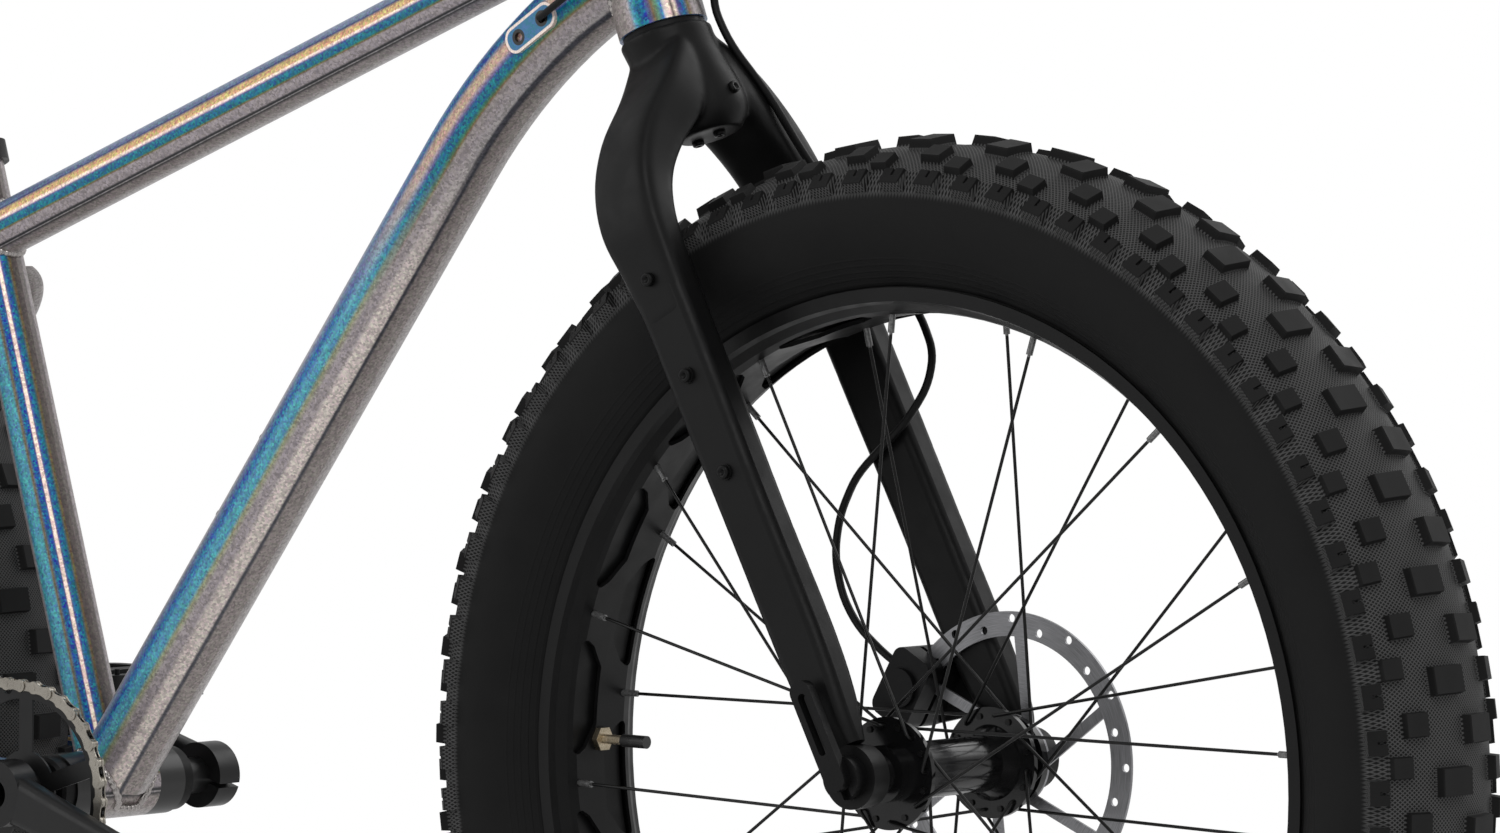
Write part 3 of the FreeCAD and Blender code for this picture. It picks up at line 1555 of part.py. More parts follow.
def inner_link(first, last):
    """Two inner plates with their two rollers."""
    solid = None
    for pin in (first, last):
        roller = rod(pin - LEFT * inner_half_gap, pin + LEFT * inner_half_gap, roller_radius)
        solid = roller if solid is None else solid.fuse(roller)
    solid = solid.fuse(chain_plate(first, last, inner_half_gap, plate_thickness))
    solid = solid.fuse(chain_plate(first, last, -inner_half_gap - plate_thickness, plate_thickness))
    for pin in (first, last):
        solid = solid.cut(rod(pin - LEFT * overrun, pin + LEFT * overrun, pin_radius + pin_gap))
    return solid


def outer_link(first, last):
    """Two outer plates with their two pins."""
    place = inner_half_gap + plate_thickness + pin_gap
    solid = chain_plate(first, last, place, plate_thickness)
    solid = solid.fuse(chain_plate(first, last, -place - plate_thickness, plate_thickness))
    for pin in (first, last):
        solid = solid.fuse(rod(pin - LEFT * pin_half_length, pin + LEFT * pin_half_length, pin_radius))
    return solid


def chain():
    """Closed chain: inner and outer links in turn, copied from one of each."""
    origin = Vector(0, 0, 0)
    reach = FORE * chain_pitch
    patterns = (inner_link(origin, reach), outer_link(origin, reach))
    links = []
    for place, pin in enumerate(pins):
        following = pins[(place + 1) % len(pins)]
        turn = math.degrees(math.atan2(following.z - pin.z, following.x - pin.x))
        link = patterns[place % 2].copy()
        link.rotate(origin, -LEFT, turn)
        link.translate(pin + chain_plane)
        links.append(link)
    return links


def cassette():
    """Sprockets on their carrier, and the lock ring."""
    solids = []
    outermost = -chain_line - driven_sprocket * sprocket_spacing
    drive_radius = pitch_radius(driven_teeth)
    drive_phase = roller_phase(rear_axle, drive_radius)
    for place, teeth in enumerate(cassette_teeth):
        across = outermost + place * sprocket_spacing
        cog = sprocket(rear_axle, teeth, drive_phase, across, carrier_radius + fit_gap)
        ring_inner = carrier_radius + sprocket_rim
        ring_outer = pitch_radius(teeth) - sprocket_rim
        if ring_outer - ring_inner > sprocket_rim:
            windows = []
            middle = (ring_inner + ring_outer) / 2
            half = (ring_outer - ring_inner) / 2 * sprocket_window_share
            way = rear_axle + FORE * middle
            hole = rod(way + LEFT * (across - overrun), way + LEFT * (across + overrun), half)
            windows += around(hole, rear_axle, LEFT, sprocket_windows, drive_phase)
            cog = cog.cut(Part.makeCompound(windows))
        solids.append(cog)
    first = outermost - tooth_half_thickness
    last = outermost + (len(cassette_teeth) - 1) * sprocket_spacing + tooth_half_thickness
    start = rear_axle + LEFT * first
    end = rear_axle + LEFT * last
    solids.append(sleeve(start, end, carrier_radius, rear_stub_radius + fit_gap))
    for place in range(len(cassette_teeth) - 1):
        gap_start = outermost + place * sprocket_spacing + tooth_half_thickness
        gap_end = gap_start + sprocket_spacing - 2 * tooth_half_thickness
        ring = sleeve(rear_axle + LEFT * gap_start, rear_axle + LEFT * gap_end,
                      carrier_radius + spacer_wall, carrier_radius + fit_gap)
        solids.append(ring)
    return solids


def pulley(centre, phase):
    """Toothed pulley with a thicker hub, turning on its bolt."""
    wheel = sprocket(centre, pulley_teeth, phase, -chain_line, pulley_pin_radius + fit_gap)
    half = LEFT * (cage_half_gap - seat_gap)
    middle = centre + chain_plane
    boss = sleeve(middle - half, middle + half, pulley_boss_radius, pulley_pin_radius + fit_gap)
    return [wheel.fuse(boss)]


def cage():
    """Pulley cage: two waisted plates and the two pulley bolts."""
    high = guide_centre()
    low = tension_centre(fitted_angle)
    run = unit(low - high)
    side = run.cross(LEFT)
    edge = side * cage_half_width
    solids = []
    for place in (-chain_line - cage_half_gap - cage_plate_thickness, -chain_line + cage_half_gap):
        arcs = [
            Part.Arc(high - edge, high - run * cage_half_width, high + edge),
            Part.Arc(high + edge, (high + low) / 2 + side * cage_waist, low + edge),
            Part.Arc(low + edge, low + run * cage_half_width, low - edge),
            Part.Arc(low - edge, (high + low) / 2 - side * cage_waist, high - edge),
        ]
        wire = Part.Wire([arc.toShape() for arc in arcs])
        wire.translate(LEFT * place)
        solids.append(plate(wire, LEFT * cage_plate_thickness))
    reach = cage_half_gap + cage_plate_thickness
    for centre in (high, low):
        middle = centre + chain_plane
        bolt = rod(middle - LEFT * cage_half_gap, middle + LEFT * (reach + pin_gap), pulley_pin_radius)
        solids[1] = solids[1].cut(rod(middle, middle + LEFT * (2 * reach), pulley_pin_radius + fit_gap))
        head = rod(middle + LEFT * reach, middle + LEFT * (reach + pulley_head_height), pulley_head_radius)
        solids.append(bolt.fuse(head))
    return solids


def rear_derailleur():
    """Derailleur body: hanger bolt knuckle, two parallel links, and the cage's knuckle."""
    hanger = hanger_point()
    outer = rear_hub_width / 2 + fit_gap + dropout_thickness
    pivot = guide_centre()
    top_start = hanger - LEFT * (outer + fit_gap)
    top_end = top_start - LEFT * knuckle_length
    top = rod(top_start, top_end, knuckle_radius)
    bolt = rod(hanger - LEFT * (outer - dropout_thickness), top_start, hanger_bore)
    cage_face = chain_line + cage_half_gap + cage_plate_thickness + seat_gap
    low_start = pivot - LEFT * cage_face
    low_end = pivot - LEFT * (outer + knuckle_length * link_place_shares[1])
    low = rod(low_start, low_end, knuckle_radius)
    run = unit(pivot - hanger)
    side = run.cross(LEFT)
    solids = [top.fuse(bolt), low]
    for share in link_place_shares:
        place = outer + fit_gap + knuckle_length * share
        middle = (pivot + hanger) / 2 - LEFT * place
        half = (pivot - hanger).Length / 2
        corner = link_half_width * lever_corner_share
        link = block(middle, run, side, half, link_half_width, corner, LEFT * link_thickness)
        solids.append(link.cut(top).cut(low))
    return solids


def crank_way(side):
    """Direction of one crank arm: the right arm's angle, and its opposite on the left."""
    return slope(crank_angle) * -side


def crank_arm(side):
    """Crank arm: spindle boss, tapered arm and pedal end, bored at both ends."""
    way = crank_way(side)
    wide = way.cross(LEFT)
    half_boss = (crank_outer - crank_inner) / 2
    centre = crank_axle + LEFT * (side * (crank_inner + half_boss))
    boss = rod(centre - LEFT * half_boss, centre + LEFT * half_boss, crank_boss_radius)
    tip = centre + way * crank_length + LEFT * (side * crank_flare)
    end_half = LEFT * (crank_end_thickness / 2)
    end = rod(tip - end_half, tip + end_half, crank_end_radius)
    sections = []
    rows = zip(crank_along_shares, crank_half_widths, crank_half_thicknesses)
    for share, half_width, half_thickness in rows:
        middle = centre + (tip - centre) * share
        corner = half_thickness * stay_corner_share
        sections.append(section(middle, wide, LEFT, half_width, half_thickness, corner))
    arm = boss.multiFuse([end, loft(sections)])
    arm = arm.cut(rod(tip - end_half * 2, tip + end_half * 2, pedal_thread_radius + fit_gap))
    return arm, centre, tip


def pedal_axle(tip, side):
    """Pedal axle screwed into the crank end, with its collar."""
    start = tip - LEFT * (side * crank_end_thickness / 2)
    face = tip + LEFT * (side * crank_end_thickness / 2)
    thread = rod(start, face, pedal_thread_radius)
    collar = rod(face, face + LEFT * (side * (pedal_gap - seat_gap)), pedal_collar_radius)
    end = face + LEFT * (side * (pedal_gap + pedal_width * pedal_axle_share))
    return thread.multiFuse([collar, rod(face, end, pedal_axle_radius)])


def cranks():
    """Both crank arms, the spindle, the chainring mount and the pedal axles."""
    arm, centre, tip = crank_arm(-1)
    mount_end = crank_axle + chain_plane + LEFT * ring_mount_depth
    mount = rod(crank_axle - LEFT * (crank_inner + fit_gap), mount_end, ring_mount_radius)
    left_arm, left_centre, left_tip = crank_arm(1)
    spindle_end = crank_axle + LEFT * crank_outer
    spindle_start = crank_axle - LEFT * crank_outer
    bore = rod(spindle_start - LEFT * overrun, spindle_end + LEFT * overrun, spindle_radius + fit_gap)
    spindle = sleeve(spindle_start, spindle_end, spindle_radius, spindle_radius - spindle_wall)
    right = arm.fuse(mount).cut(bore)
    save("right_crank", [right, spindle, pedal_axle(tip, -1)])
    slot = block(left_centre - LEFT * crank_end_thickness, crank_way(1), crank_way(1).cross(LEFT),
                 crank_boss_radius * 2, collar_slot / 2, fit_gap, LEFT * (2 * crank_end_thickness))
    slot.translate(crank_way(1) * (-2 * crank_boss_radius))
    save("left_crank", [left_arm.cut(bore).cut(slot), pedal_axle(left_tip, 1)])
    for name, end, side in (("right_pedal", tip, -1), ("left_pedal", left_tip, 1)):
        save(name, [pedal(end, side)])


def pedal(tip, side):
    """Flat pedal: a frame round its bearing barrel, with grip pins above and below."""
    start = tip + LEFT * (side * (crank_end_thickness / 2 + pedal_gap))
    middle = start + LEFT * (side * pedal_width / 2)
    low = middle - UP * (pedal_height / 2)
    body = block(low, FORE, LEFT, pedal_length / 2, pedal_width / 2, pedal_corner, UP * pedal_height)
    opening = (pedal_length / 2 - pedal_bar - pedal_barrel_radius) / 2
    for sign in (-1, 1):
        place = low + FORE * (sign * (pedal_barrel_radius + opening)) - UP * overrun
        window = block(place, FORE, LEFT, opening, pedal_width / 2 - pedal_bar, opening * lever_corner_share,
                       UP * (pedal_height + 2 * overrun))
        body = body.cut(window)
    grip_pins = []
    for fore in (-1, 1):
        for across in pedal_pin_shares:
            foot = middle + FORE * (fore * (pedal_length - pedal_bar) / 2) + LEFT * (across * pedal_width)
            rise = UP * (pedal_height / 2 + pedal_pin_height)
            grip_pins.append(rod(foot - rise, foot + rise, pedal_pin_radius))
    body = body.multiFuse(grip_pins)
    bore_end = start + LEFT * (side * (pedal_width * pedal_axle_share + fit_gap))
    return body.cut(rod(start - LEFT * (side * overrun), bore_end, pedal_axle_radius + fit_gap))


def chainring():
    """Toothed ring with curved openings between its arms, bored for the crank's mount."""
    radius = pitch_radius(chainring_teeth)
    phase = roller_phase(crank_axle, radius)
    ring = sprocket(crank_axle, chainring_teeth, phase, -chain_line, ring_mount_radius + fit_gap)
    outer = radius - chainring_rim
    band = sleeve(crank_axle + chain_plane - LEFT * overrun, crank_axle + chain_plane + LEFT * overrun,
                  outer, chainring_hub_radius)
    arm_foot = crank_axle + chain_plane - LEFT * (2 * overrun)
    arm_middle = arm_foot + FORE * (outer / 2)
    arm = block(arm_middle, FORE, UP, outer / 2, chainring_arm_width / 2, fit_gap, LEFT * (4 * overrun))
    for spoke in around(arm, crank_axle, LEFT, chainring_arms, crank_angle):
        band = band.cut(spoke)
    return [ring.cut(band)]


# Cockpit, made on the left and mirrored where both sides are alike

stem_foot = head_tube_length + upper_stack + spacer_height
stem_middle = stem_foot + stem_height / 2
bar_centre = on_steerer(stem_middle, stem_length)
bar_out = slope(90 + bar_sweep)
bar_out = Vector(bar_out.x, bar_out.z, 0)
bar_fore = Vector(bar_out.y, -bar_out.x, 0)
bar_knee = bar_centre + LEFT * (bar_straight + bar_rise_run) + steer_up * bar_rise
bar_end = bar_knee + bar_out * ((bar_width / 2 - bar_knee.y) / bar_out.y)
brake_place = grip_length + grip_collar + brake_clamp_width / 2 + seat_gap
shifter_place = brake_place + brake_clamp_width / 2 + shifter_width / 2 + seat_gap
lever_pivot_inboard = brake_place - brake_clamp_width / 2
shifter_middle = shifter_place - shifter_width / 2 + shifter_box / 2


def on_bar(inboard, fore=0.0, up=0.0):
    """Point beside the left end of the handlebar, counted in from its tip."""
    return bar_end - bar_out * inboard + bar_fore * fore + UP * up


def mirrored(solid):
    """The same piece on the right."""
    return solid.mirror(ORIGIN, LEFT)


def headset_spacers():
    """Crown seal, upper bearing cover, spacer under the stem, and the top cap."""
    bore = steerer_radius + fit_gap
    seal = sleeve(on_steerer(-lower_stack + fit_gap), on_steerer(-seat_gap), bearing_low_radius,
                  steerer_low_radius + fit_gap)
    cover_start = head_tube_length + seat_gap
    cover = sleeve(on_steerer(cover_start), on_steerer(head_tube_length + upper_stack), cover_radius, bore)
    spacer = sleeve(on_steerer(head_tube_length + upper_stack), on_steerer(stem_foot), spacer_radius, bore)
    stem_top = stem_foot + stem_height
    cap = rod(on_steerer(stem_top), on_steerer(stem_top + top_cap_height), spacer_radius - cap_inset)
    return [seal, cover, spacer, cap]


def faceplate_bolts():
    """Axes of the four faceplate bolts: from the stem's inside to the front of the plate."""
    axes = []
    for across in (-1, 1):
        for up in (-1, 1):
            foot = bar_centre + LEFT * (across * stem_clamp_width * faceplate_bolt_share)
            foot += steer_up * (up * (bar_clamp_radius + bolt_radius + faceplate_gap))
            axes.append((foot - steer_fore * stem_ear, foot + steer_fore * stem_ear))
    return axes


def stem():
    """Stem with its steerer clamp, neck and bar clamp, and the separate faceplate."""
    outer = steerer_radius + fit_gap + stem_wall
    clamp = rod(on_steerer(stem_foot), on_steerer(stem_foot + stem_height), outer)
    half = LEFT * (stem_clamp_width / 2)
    ear_up = bar_clamp_radius + 2 * bolt_radius + 2 * faceplate_gap
    ears = block(bar_centre - half, steer_fore, steer_up, stem_ear, ear_up, faceplate_wall, half * 2)
    barrel = rod(bar_centre - half, bar_centre + half, bar_clamp_radius + faceplate_wall)
    neck_run = steer_fore * (stem_length - bar_clamp_radius)
    neck_foot = on_steerer(stem_middle)
    neck = block(neck_foot, LEFT, steer_up, stem_neck_half_width, stem_neck_half_height, stem_wall, neck_run)
    bar_bore = rod(bar_centre - half * 2, bar_centre + half * 2, bar_clamp_radius + fit_gap)
    clamps = barrel.fuse(ears).cut(bar_bore)
    for start, end in faceplate_bolts():
        clamps = clamps.cut(rod(start, end, bolt_radius + fit_gap))
    depth = steer_fore * (stem_length * 2)
    half_gap = steer_fore * (faceplate_gap / 2)
    front = block(bar_centre + half_gap, LEFT, steer_up, stem_clamp_width, ear_up * 2, stem_wall, depth)
    open_front = block(bar_centre - half_gap, LEFT, steer_up, stem_clamp_width, ear_up * 2, stem_wall, depth)
    body = clamps.cut(open_front).multiFuse([neck.cut(open_front), clamp])
    body = body.cut(rod(bar_centre - half * 2, bar_centre + half * 2, bar_clamp_radius + fit_gap))
    body = body.cut(rod(on_steerer(stem_foot - overrun), on_steerer(stem_foot + stem_height + overrun),
                        steerer_radius + fit_gap))
    for start, end in faceplate_bolts():
        body = body.cut(rod(start, end, bolt_radius + fit_gap))
    return [body, clamps.common(front)]


def cockpit_bolts():
    """Faceplate bolts and the top cap's bolt."""
    bolts = []
    for start, end in faceplate_bolts():
        head = rod(end, end + steer_fore * bolt_head_height, bolt_head_radius)
        bolts.append(rod(start, end, bolt_radius).fuse(head))
    top = on_steerer(stem_foot + stem_height + top_cap_height)
    bolts.append(rod(top, top + steer_up * bolt_head_height / 2, bolt_head_radius))
    return bolts


def bar_path():
    """Centre line of the riser bar's left side, from its end to its middle piece."""
    knee = bar_centre + LEFT * bar_straight
    return bent_path([bar_end, bar_knee, knee, bar_centre + LEFT * bar_middle_half], bar_bend)


def handlebar():
    """Riser bar: a bent tube that swells to its clamp."""
    bore = bar_radius - bar_wall
    taper_end = bar_clamp_half + bar_taper
    middle = turned(
        (
            (bore, -bar_middle_half),
            (bar_radius, -bar_middle_half),
            (bar_radius, -taper_end),
            (bar_clamp_radius, -bar_clamp_half),
            (bar_clamp_radius, bar_clamp_half),
            (bar_radius, taper_end),
            (bar_radius, bar_middle_half),
            (bore, bar_middle_half),
        ),
        bar_centre, LEFT, FORE,
    )
    side = swept(bar_path(), bar_radius).cut(swept(bar_path(), bore))
    return [middle.multiFuse([side, side.mirror(ORIGIN, LEFT)])]


def grips():
    """Ribbed grips closed at the bar's ends, with their lock collars."""
    bore = bar_radius + fit_gap
    profile = [(0, -grip_end), (grip_radius, -grip_end), (grip_radius, 0)]
    step = grip_length / (grip_ribs + 1)
    for rib in range(grip_ribs):
        start = step * (rib + 1) - step / 4
        profile += [(grip_radius, start), (grip_rib_radius, start), (grip_rib_radius, start + step / 2)]
        profile += [(grip_radius, start + step / 2)]
    profile += [(grip_radius, grip_length), (bore, grip_length), (bore, 0), (0, 0)]
    grip = turned(profile, bar_end, bar_out * -1, UP)
    collar = sleeve(on_bar(grip_length), on_bar(grip_length + grip_collar), grip_rib_radius, bore)
    return both_sides(grip) + both_sides(collar)


def brake_mount():
    """Left brake lever mount: bar clamp, master cylinder and lever fork with its pin."""
    outer = bar_radius + fit_gap + brake_clamp_wall
    half = brake_clamp_width / 2
    ring = rod(on_bar(brake_place - half), on_bar(brake_place + half), outer)
    neck_half = master_radius * neck_share
    neck = block(on_bar(brake_place), bar_out, UP, half, neck_half, master_corner, bar_fore * master_fore)
    master_end = on_bar(brake_place + master_length, master_fore)
    master = rod(on_bar(lever_pivot_inboard, master_fore), master_end, master_radius)
    arm_half = brake_lever_width / 2 + lever_side_gap + fork_plate
    arm_depth = (lever_pivot_fore + lever_eye - master_fore + master_radius / 2) / 2
    arm_middle = on_bar(lever_pivot_inboard + half, lever_pivot_fore + lever_eye - arm_depth, -arm_half)
    arm_run = UP * (2 * arm_half)
    arm = block(arm_middle, bar_fore, bar_out, arm_depth, half + lever_eye, master_corner, arm_run)
    gap_half = brake_lever_width / 2 + lever_side_gap
    gap_foot = on_bar(lever_pivot_inboard - overrun, lever_pivot_fore + overrun, -gap_half)
    gap_depth = lever_eye + 2 * overrun
    gap = block(gap_foot, bar_fore, bar_out, gap_depth, gap_depth + overrun, fit_gap, UP * (2 * gap_half))
    pivot = on_bar(lever_pivot_inboard, lever_pivot_fore)
    pin = rod(pivot - UP * arm_half, pivot + UP * arm_half, lever_pin_radius)
    body = ring.multiFuse([neck, master, arm.cut(gap)]).fuse(pin)
    return body.cut(rod(on_bar(0), on_bar(brake_place * 2), bar_radius + fit_gap))


def brake_lever():
    """Left brake lever: an eye on its pin and a blade that hooks out along the grip."""
    pivot = on_bar(lever_pivot_inboard, lever_pivot_fore)
    half = UP * (brake_lever_width / 2)
    eye = rod(pivot - half, pivot + half, lever_eye)
    sections = []
    for along, fore, thin in zip(lever_along_shares, lever_fore_shares, lever_thin_shares):
        centre = pivot + bar_out * (along * brake_lever_length) + bar_fore * (fore * brake_lever_length)
        thickness = brake_lever_thickness / 2 * thin
        corner = thickness * stay_corner_share
        sections.append(section(centre, bar_fore, UP, thickness, brake_lever_width / 2, corner))
    lever = eye.fuse(loft(sections))
    return lever.cut(rod(pivot - half * 2, pivot + half * 2, lever_pin_radius + fit_gap))


def shifter():
    """Right shifter: bar clamp, housing under the bar and the levers' pin."""
    outer = bar_radius + fit_gap + brake_clamp_wall
    half = shifter_width / 2
    ring = rod(on_bar(shifter_place - half), on_bar(shifter_place + half), outer)
    top = on_bar(shifter_middle, shifter_fore, -bar_radius - brake_clamp_wall / 2)
    depth = shifter_box * shifter_depth_share
    box = block(top, bar_out, bar_fore, shifter_box / 2, depth, master_corner, UP * -shifter_height)
    pin_end = top - UP * (shifter_height + 2 * paddle_thickness + 2 * lever_side_gap)
    pin = rod(top, pin_end, lever_pin_radius)
    body = ring.multiFuse([box, pin]).cut(rod(on_bar(0), on_bar(shifter_place * 2), bar_radius + fit_gap))
    return [mirrored(body)]


def paddle(level, out_share, fore_share, length):
    """Shift lever on the right: a thumb paddle on the shifter's pin, at one of two levels."""
    top = on_bar(shifter_middle, shifter_fore, -bar_radius - brake_clamp_wall / 2 - shifter_height)
    high = top - UP * (lever_side_gap + level * (paddle_thickness + lever_side_gap))
    way = unit(bar_out * out_share + bar_fore * fore_share)
    side = UP.cross(way)
    blade = block(high + way * (length / 2), way, side, length / 2 + paddle_width / 2, paddle_width / 2,
                  paddle_width * lever_corner_share, UP * -paddle_thickness)
    bore = rod(high + UP * overrun, high - UP * (2 * overrun), lever_pin_radius + fit_gap)
    return [mirrored(blade.cut(bore))]


# Seat

post_top = seat_top + seat_up * seatpost_show
rail_level = post_top.z + post_head_radius + rail_radius + clamp_plate_wall
saddle_foot = rail_level + rail_rise + rail_radius


def saddle_x(share):
    """Place along the saddle, from tail to nose."""
    return post_top.x + saddle_length * (share - saddle_centre_share)


def rail_path(side):
    """Centre line of one saddle rail."""
    points = []
    for along, across, rise in rail_shares:
        place = Vector(saddle_x(along), side * rail_half_spacing * across, rail_level + rail_rise * rise)
        points.append(place)
    return bent_path(points, rail_bend)


def saddle_rails():
    """Two bent rails under the saddle."""
    return [swept(rail_path(side), rail_radius) for side in (-1, 1)]


def seatpost():
    """Hollow post with its head and lower cradle, the upper rail clamp and the clamp bolts."""
    foot = seat_top - seat_up * seatpost_sunk
    tube = sleeve(foot, post_top, seatpost_radius, seatpost_radius - seatpost_wall)
    head_half = LEFT * post_head_half_width
    head = rod(post_top - head_half, post_top + head_half, post_head_radius)
    low = Vector(post_top.x, 0, rail_level - rail_radius - clamp_plate_wall)
    half_width = rail_half_spacing + rail_radius + stem_wall
    rise = UP * (rail_radius + clamp_plate_wall)
    half_length = clamp_plate_length / 2
    cradle = block(low, FORE, LEFT, half_length, half_width, master_corner, rise)
    upper = block(low + rise + UP * fit_gap, FORE, LEFT, half_length, half_width, master_corner, rise)
    post = tube.multiFuse([head, cradle])
    bolts = []
    for side in (-1, 1):
        start = Vector(saddle_x(0), side * rail_half_spacing, rail_level)
        groove = rod(start, start + FORE * saddle_length, rail_radius + fit_gap)
        post = post.cut(groove)
        upper = upper.cut(groove)
        centre = Vector(post_top.x + side * clamp_plate_length * clamp_bolt_share, 0, rail_level)
        drop = UP * (rail_radius + clamp_plate_wall)
        hole = rod(centre - drop, centre + drop * 2, bolt_radius + fit_gap)
        post = post.cut(hole)
        upper = upper.cut(hole)
        top = centre + drop + UP * fit_gap
        head_rod = rod(top, top + UP * bolt_head_height, bolt_head_radius)
        bolts.append(rod(centre - drop, top, bolt_radius).fuse(head_rod))
    return [post, upper] + bolts


def saddle_section(share, width_share, height_share, foot, height):
    """Closed cross-section of the saddle: flat underside, drawn-in sides and crowned top."""
    span = saddle_half_width - saddle_nose_half_width
    half = saddle_nose_half_width + span * width_share
    top = foot + height * height_share
    crown = saddle_crown * height_share * height / saddle_pad_height
    x = saddle_x(share)

    def at(across, level):
        return Vector(x, across * half, level)

    side = foot + (top - crown - foot) * saddle_side_share
    shoulder = [at(place * saddle_shoulder_share, top - crown) for place in (1, -1)]
    edges = [
        Part.LineSegment(at(-saddle_foot_share, foot), at(saddle_foot_share, foot)).toShape(),
        Part.Arc(at(saddle_foot_share, foot), at(1, side), shoulder[0]).toShape(),
        Part.Arc(shoulder[0], at(0, top), shoulder[1]).toShape(),
        Part.Arc(shoulder[1], at(-1, side), at(-saddle_foot_share, foot)).toShape(),
    ]
    return Part.Wire(edges)


def saddle():
    """Padded saddle: crowned top, wide tail and long nose."""
    foot = saddle_foot + saddle_shell_wall + fit_gap
    shares = zip(saddle_along_shares, saddle_width_shares, saddle_height_shares)
    return [loft([saddle_section(a, w, h, foot, saddle_pad_height) for a, w, h in shares])]


def saddle_shell():
    """Moulded shell under the padding that the rails hold."""
    span = saddle_half_width - saddle_nose_half_width
    edge = []
    for along, width in zip(saddle_along_shares, saddle_width_shares):
        half = (saddle_nose_half_width + span * width) * saddle_foot_share
        edge.append(Vector(saddle_x(along), half, saddle_foot))
    other = [Vector(point.x, -point.y, point.z) for point in reversed(edge)]
    return [plate(rounded(edge + other, saddle_shell_corner), UP * saddle_shell_wall)]


# Hoses and cable, with routes in millimetres

front_hose_route = (
    Vector(385, 127, 1002), Vector(395, 94, 989), Vector(400, 63, 960), Vector(395, 40, 921),
    Vector(384, 24, 876), Vector(376, 18, 838), Vector(389, 20, 811), Vector(405, 38, 780),
    Vector(416, 60, 742), Vector(434, 72, 712), Vector(465, 74, 676), Vector(497, 72, 646),
    Vector(511, 68, 622), Vector(509, 65, 602), Vector(494, 63.5, 580), Vector(473, 63, 562),
    Vector(452, 66, 545), Vector(432, 75, 520), Vector(424, 80, 495), Vector(431, 79, 470),
    Vector(445, 77, 452),
)
rear_hose_route = (
    Vector(388, -128, 1002), Vector(400, -98, 987), Vector(405, -70, 961), Vector(398, -45, 932),
    Vector(389, -18, 906), Vector(376, 13, 885), Vector(351, 34, 867), Vector(318, 38, 851),
)
rear_hose_end_route = (
    Vector(-436, 88, 394), Vector(-444, 85, 414), Vector(-458, 83, 428),
)
shift_cable_route = (
    Vector(372, -126, 976), Vector(394, -98, 957), Vector(402, -70, 926), Vector(390, -50, 890),
    Vector(360, -39, 862), Vector(322, -37, 849),
)
shift_cable_end_route = (
    Vector(-512, -104, 328), Vector(-534, -111, 302), Vector(-562, -115, 290),
)


def port_end(side, radius):
    """Where a hose or cable lies against a port plate, over its upper hole."""
    point = port_point(side) + down_tube_run * (port_length * port_hole_share)
    return point + LEFT * (side * (port_thickness + radius))


def master_leads():
    """First two points of a hose: straight out of the left master cylinder's inner end."""
    inboard = brake_place + master_length + fit_gap
    return [on_bar(inboard, master_fore), on_bar(inboard + hose_lead, master_fore)]


def front_brake_hose():
    """Hose from the left lever down past the crown and the left leg to the front caliper."""
    centre, out, along = caliper_frame(front_axle, front_caliper_angle, front_rotor_radius)
    end = centre + LEFT * (front_rotor_place + hose_entry) + out * (caliper_height / 2 + fit_gap)
    lead = end + out * hose_lead
    return [swept(hose(master_leads() + list(front_hose_route) + [lead, end]), hose_radius)]


def rear_brake_hose():
    """Hose from the right lever to the left port, and from the left chainstay to the rear caliper."""
    leads = [Vector(point.x, -point.y, point.z) for point in master_leads()]
    first = swept(hose(leads + list(rear_hose_route) + [port_end(1, hose_radius)]), hose_radius)
    centre, out, along = caliper_frame(rear_axle, rear_caliper_angle, rear_rotor_radius)
    end = centre + LEFT * (rear_rotor_place + hose_entry) + out * (caliper_height / 2 + fit_gap)
    foot = stay_top(hose_exit_share, 1)
    second = swept(hose([foot] + list(rear_hose_end_route) + [end + out * hose_lead, end]), hose_radius)
    return [first, second]


def stay_top(share, side):
    """Point on the upper or lower face of a chainstay, at a share of its length."""
    start = crank_axle + FORE * -chainstay_start
    end = rear_axle + FORE * dropout_reach - UP * chainstay_end_drop
    place = start + (end - start) * share
    shares = chainstay_along_shares
    span = (share - shares[-2]) / (shares[-1] - shares[-2])
    across = chainstay_across[-2] + (chainstay_across[-1] - chainstay_across[-2]) * span
    half = max(chainstay_half_heights[-2:])
    return place + LEFT * (side * across) + UP * (side * (half + hose_foot_gap))


def shift_cable():
    """Cable housing from the shifter to the right port, and from the right chainstay to the derailleur."""
    inboard = shifter_middle + shifter_box / 2 + fit_gap
    leads = []
    for reach in (0, hose_lead):
        point = on_bar(inboard + reach, shifter_fore, -bar_radius - brake_clamp_wall - cable_drop)
        leads.append(Vector(point.x, -point.y, point.z))
    first = swept(hose(leads + list(shift_cable_route) + [port_end(-1, cable_radius)]), cable_radius)
    end = guide_centre() - LEFT * (rear_hub_width / 2 + dropout_thickness + cable_entry)
    end += UP * (knuckle_radius + fit_gap)
    foot = stay_top(cable_exit_share, -1)
    second = swept(hose([foot] + list(shift_cable_end_route) + [end + UP * hose_lead / 2, end]), cable_radius)
    return [first, second]


def frame_fittings():
    """Port plates on the down tube's flanks, each with its holes."""
    solids = []
    for side in (-1, 1):
        centre = port_point(side) - LEFT * (side * port_sink)
        up = slope(down_tube_slope + 90)
        corner = port_width * lever_corner_share
        depth = LEFT * (side * (port_thickness + port_sink))
        body = block(centre, down_tube_run, up, port_length / 2, port_width / 2, corner, depth)
        body = body.cut(swept(down_tube_path(), down_tube_radius + weld_gap))
        for sign in (-1, 1):
            hole = port_point(side) + down_tube_run * (sign * port_length * port_hole_share)
            body = body.cut(rod(hole - LEFT * overrun, hole + LEFT * overrun, port_hole - hole_step))
        solids.append(max(body.Solids, key=lambda piece: piece.Volume))
    return solids


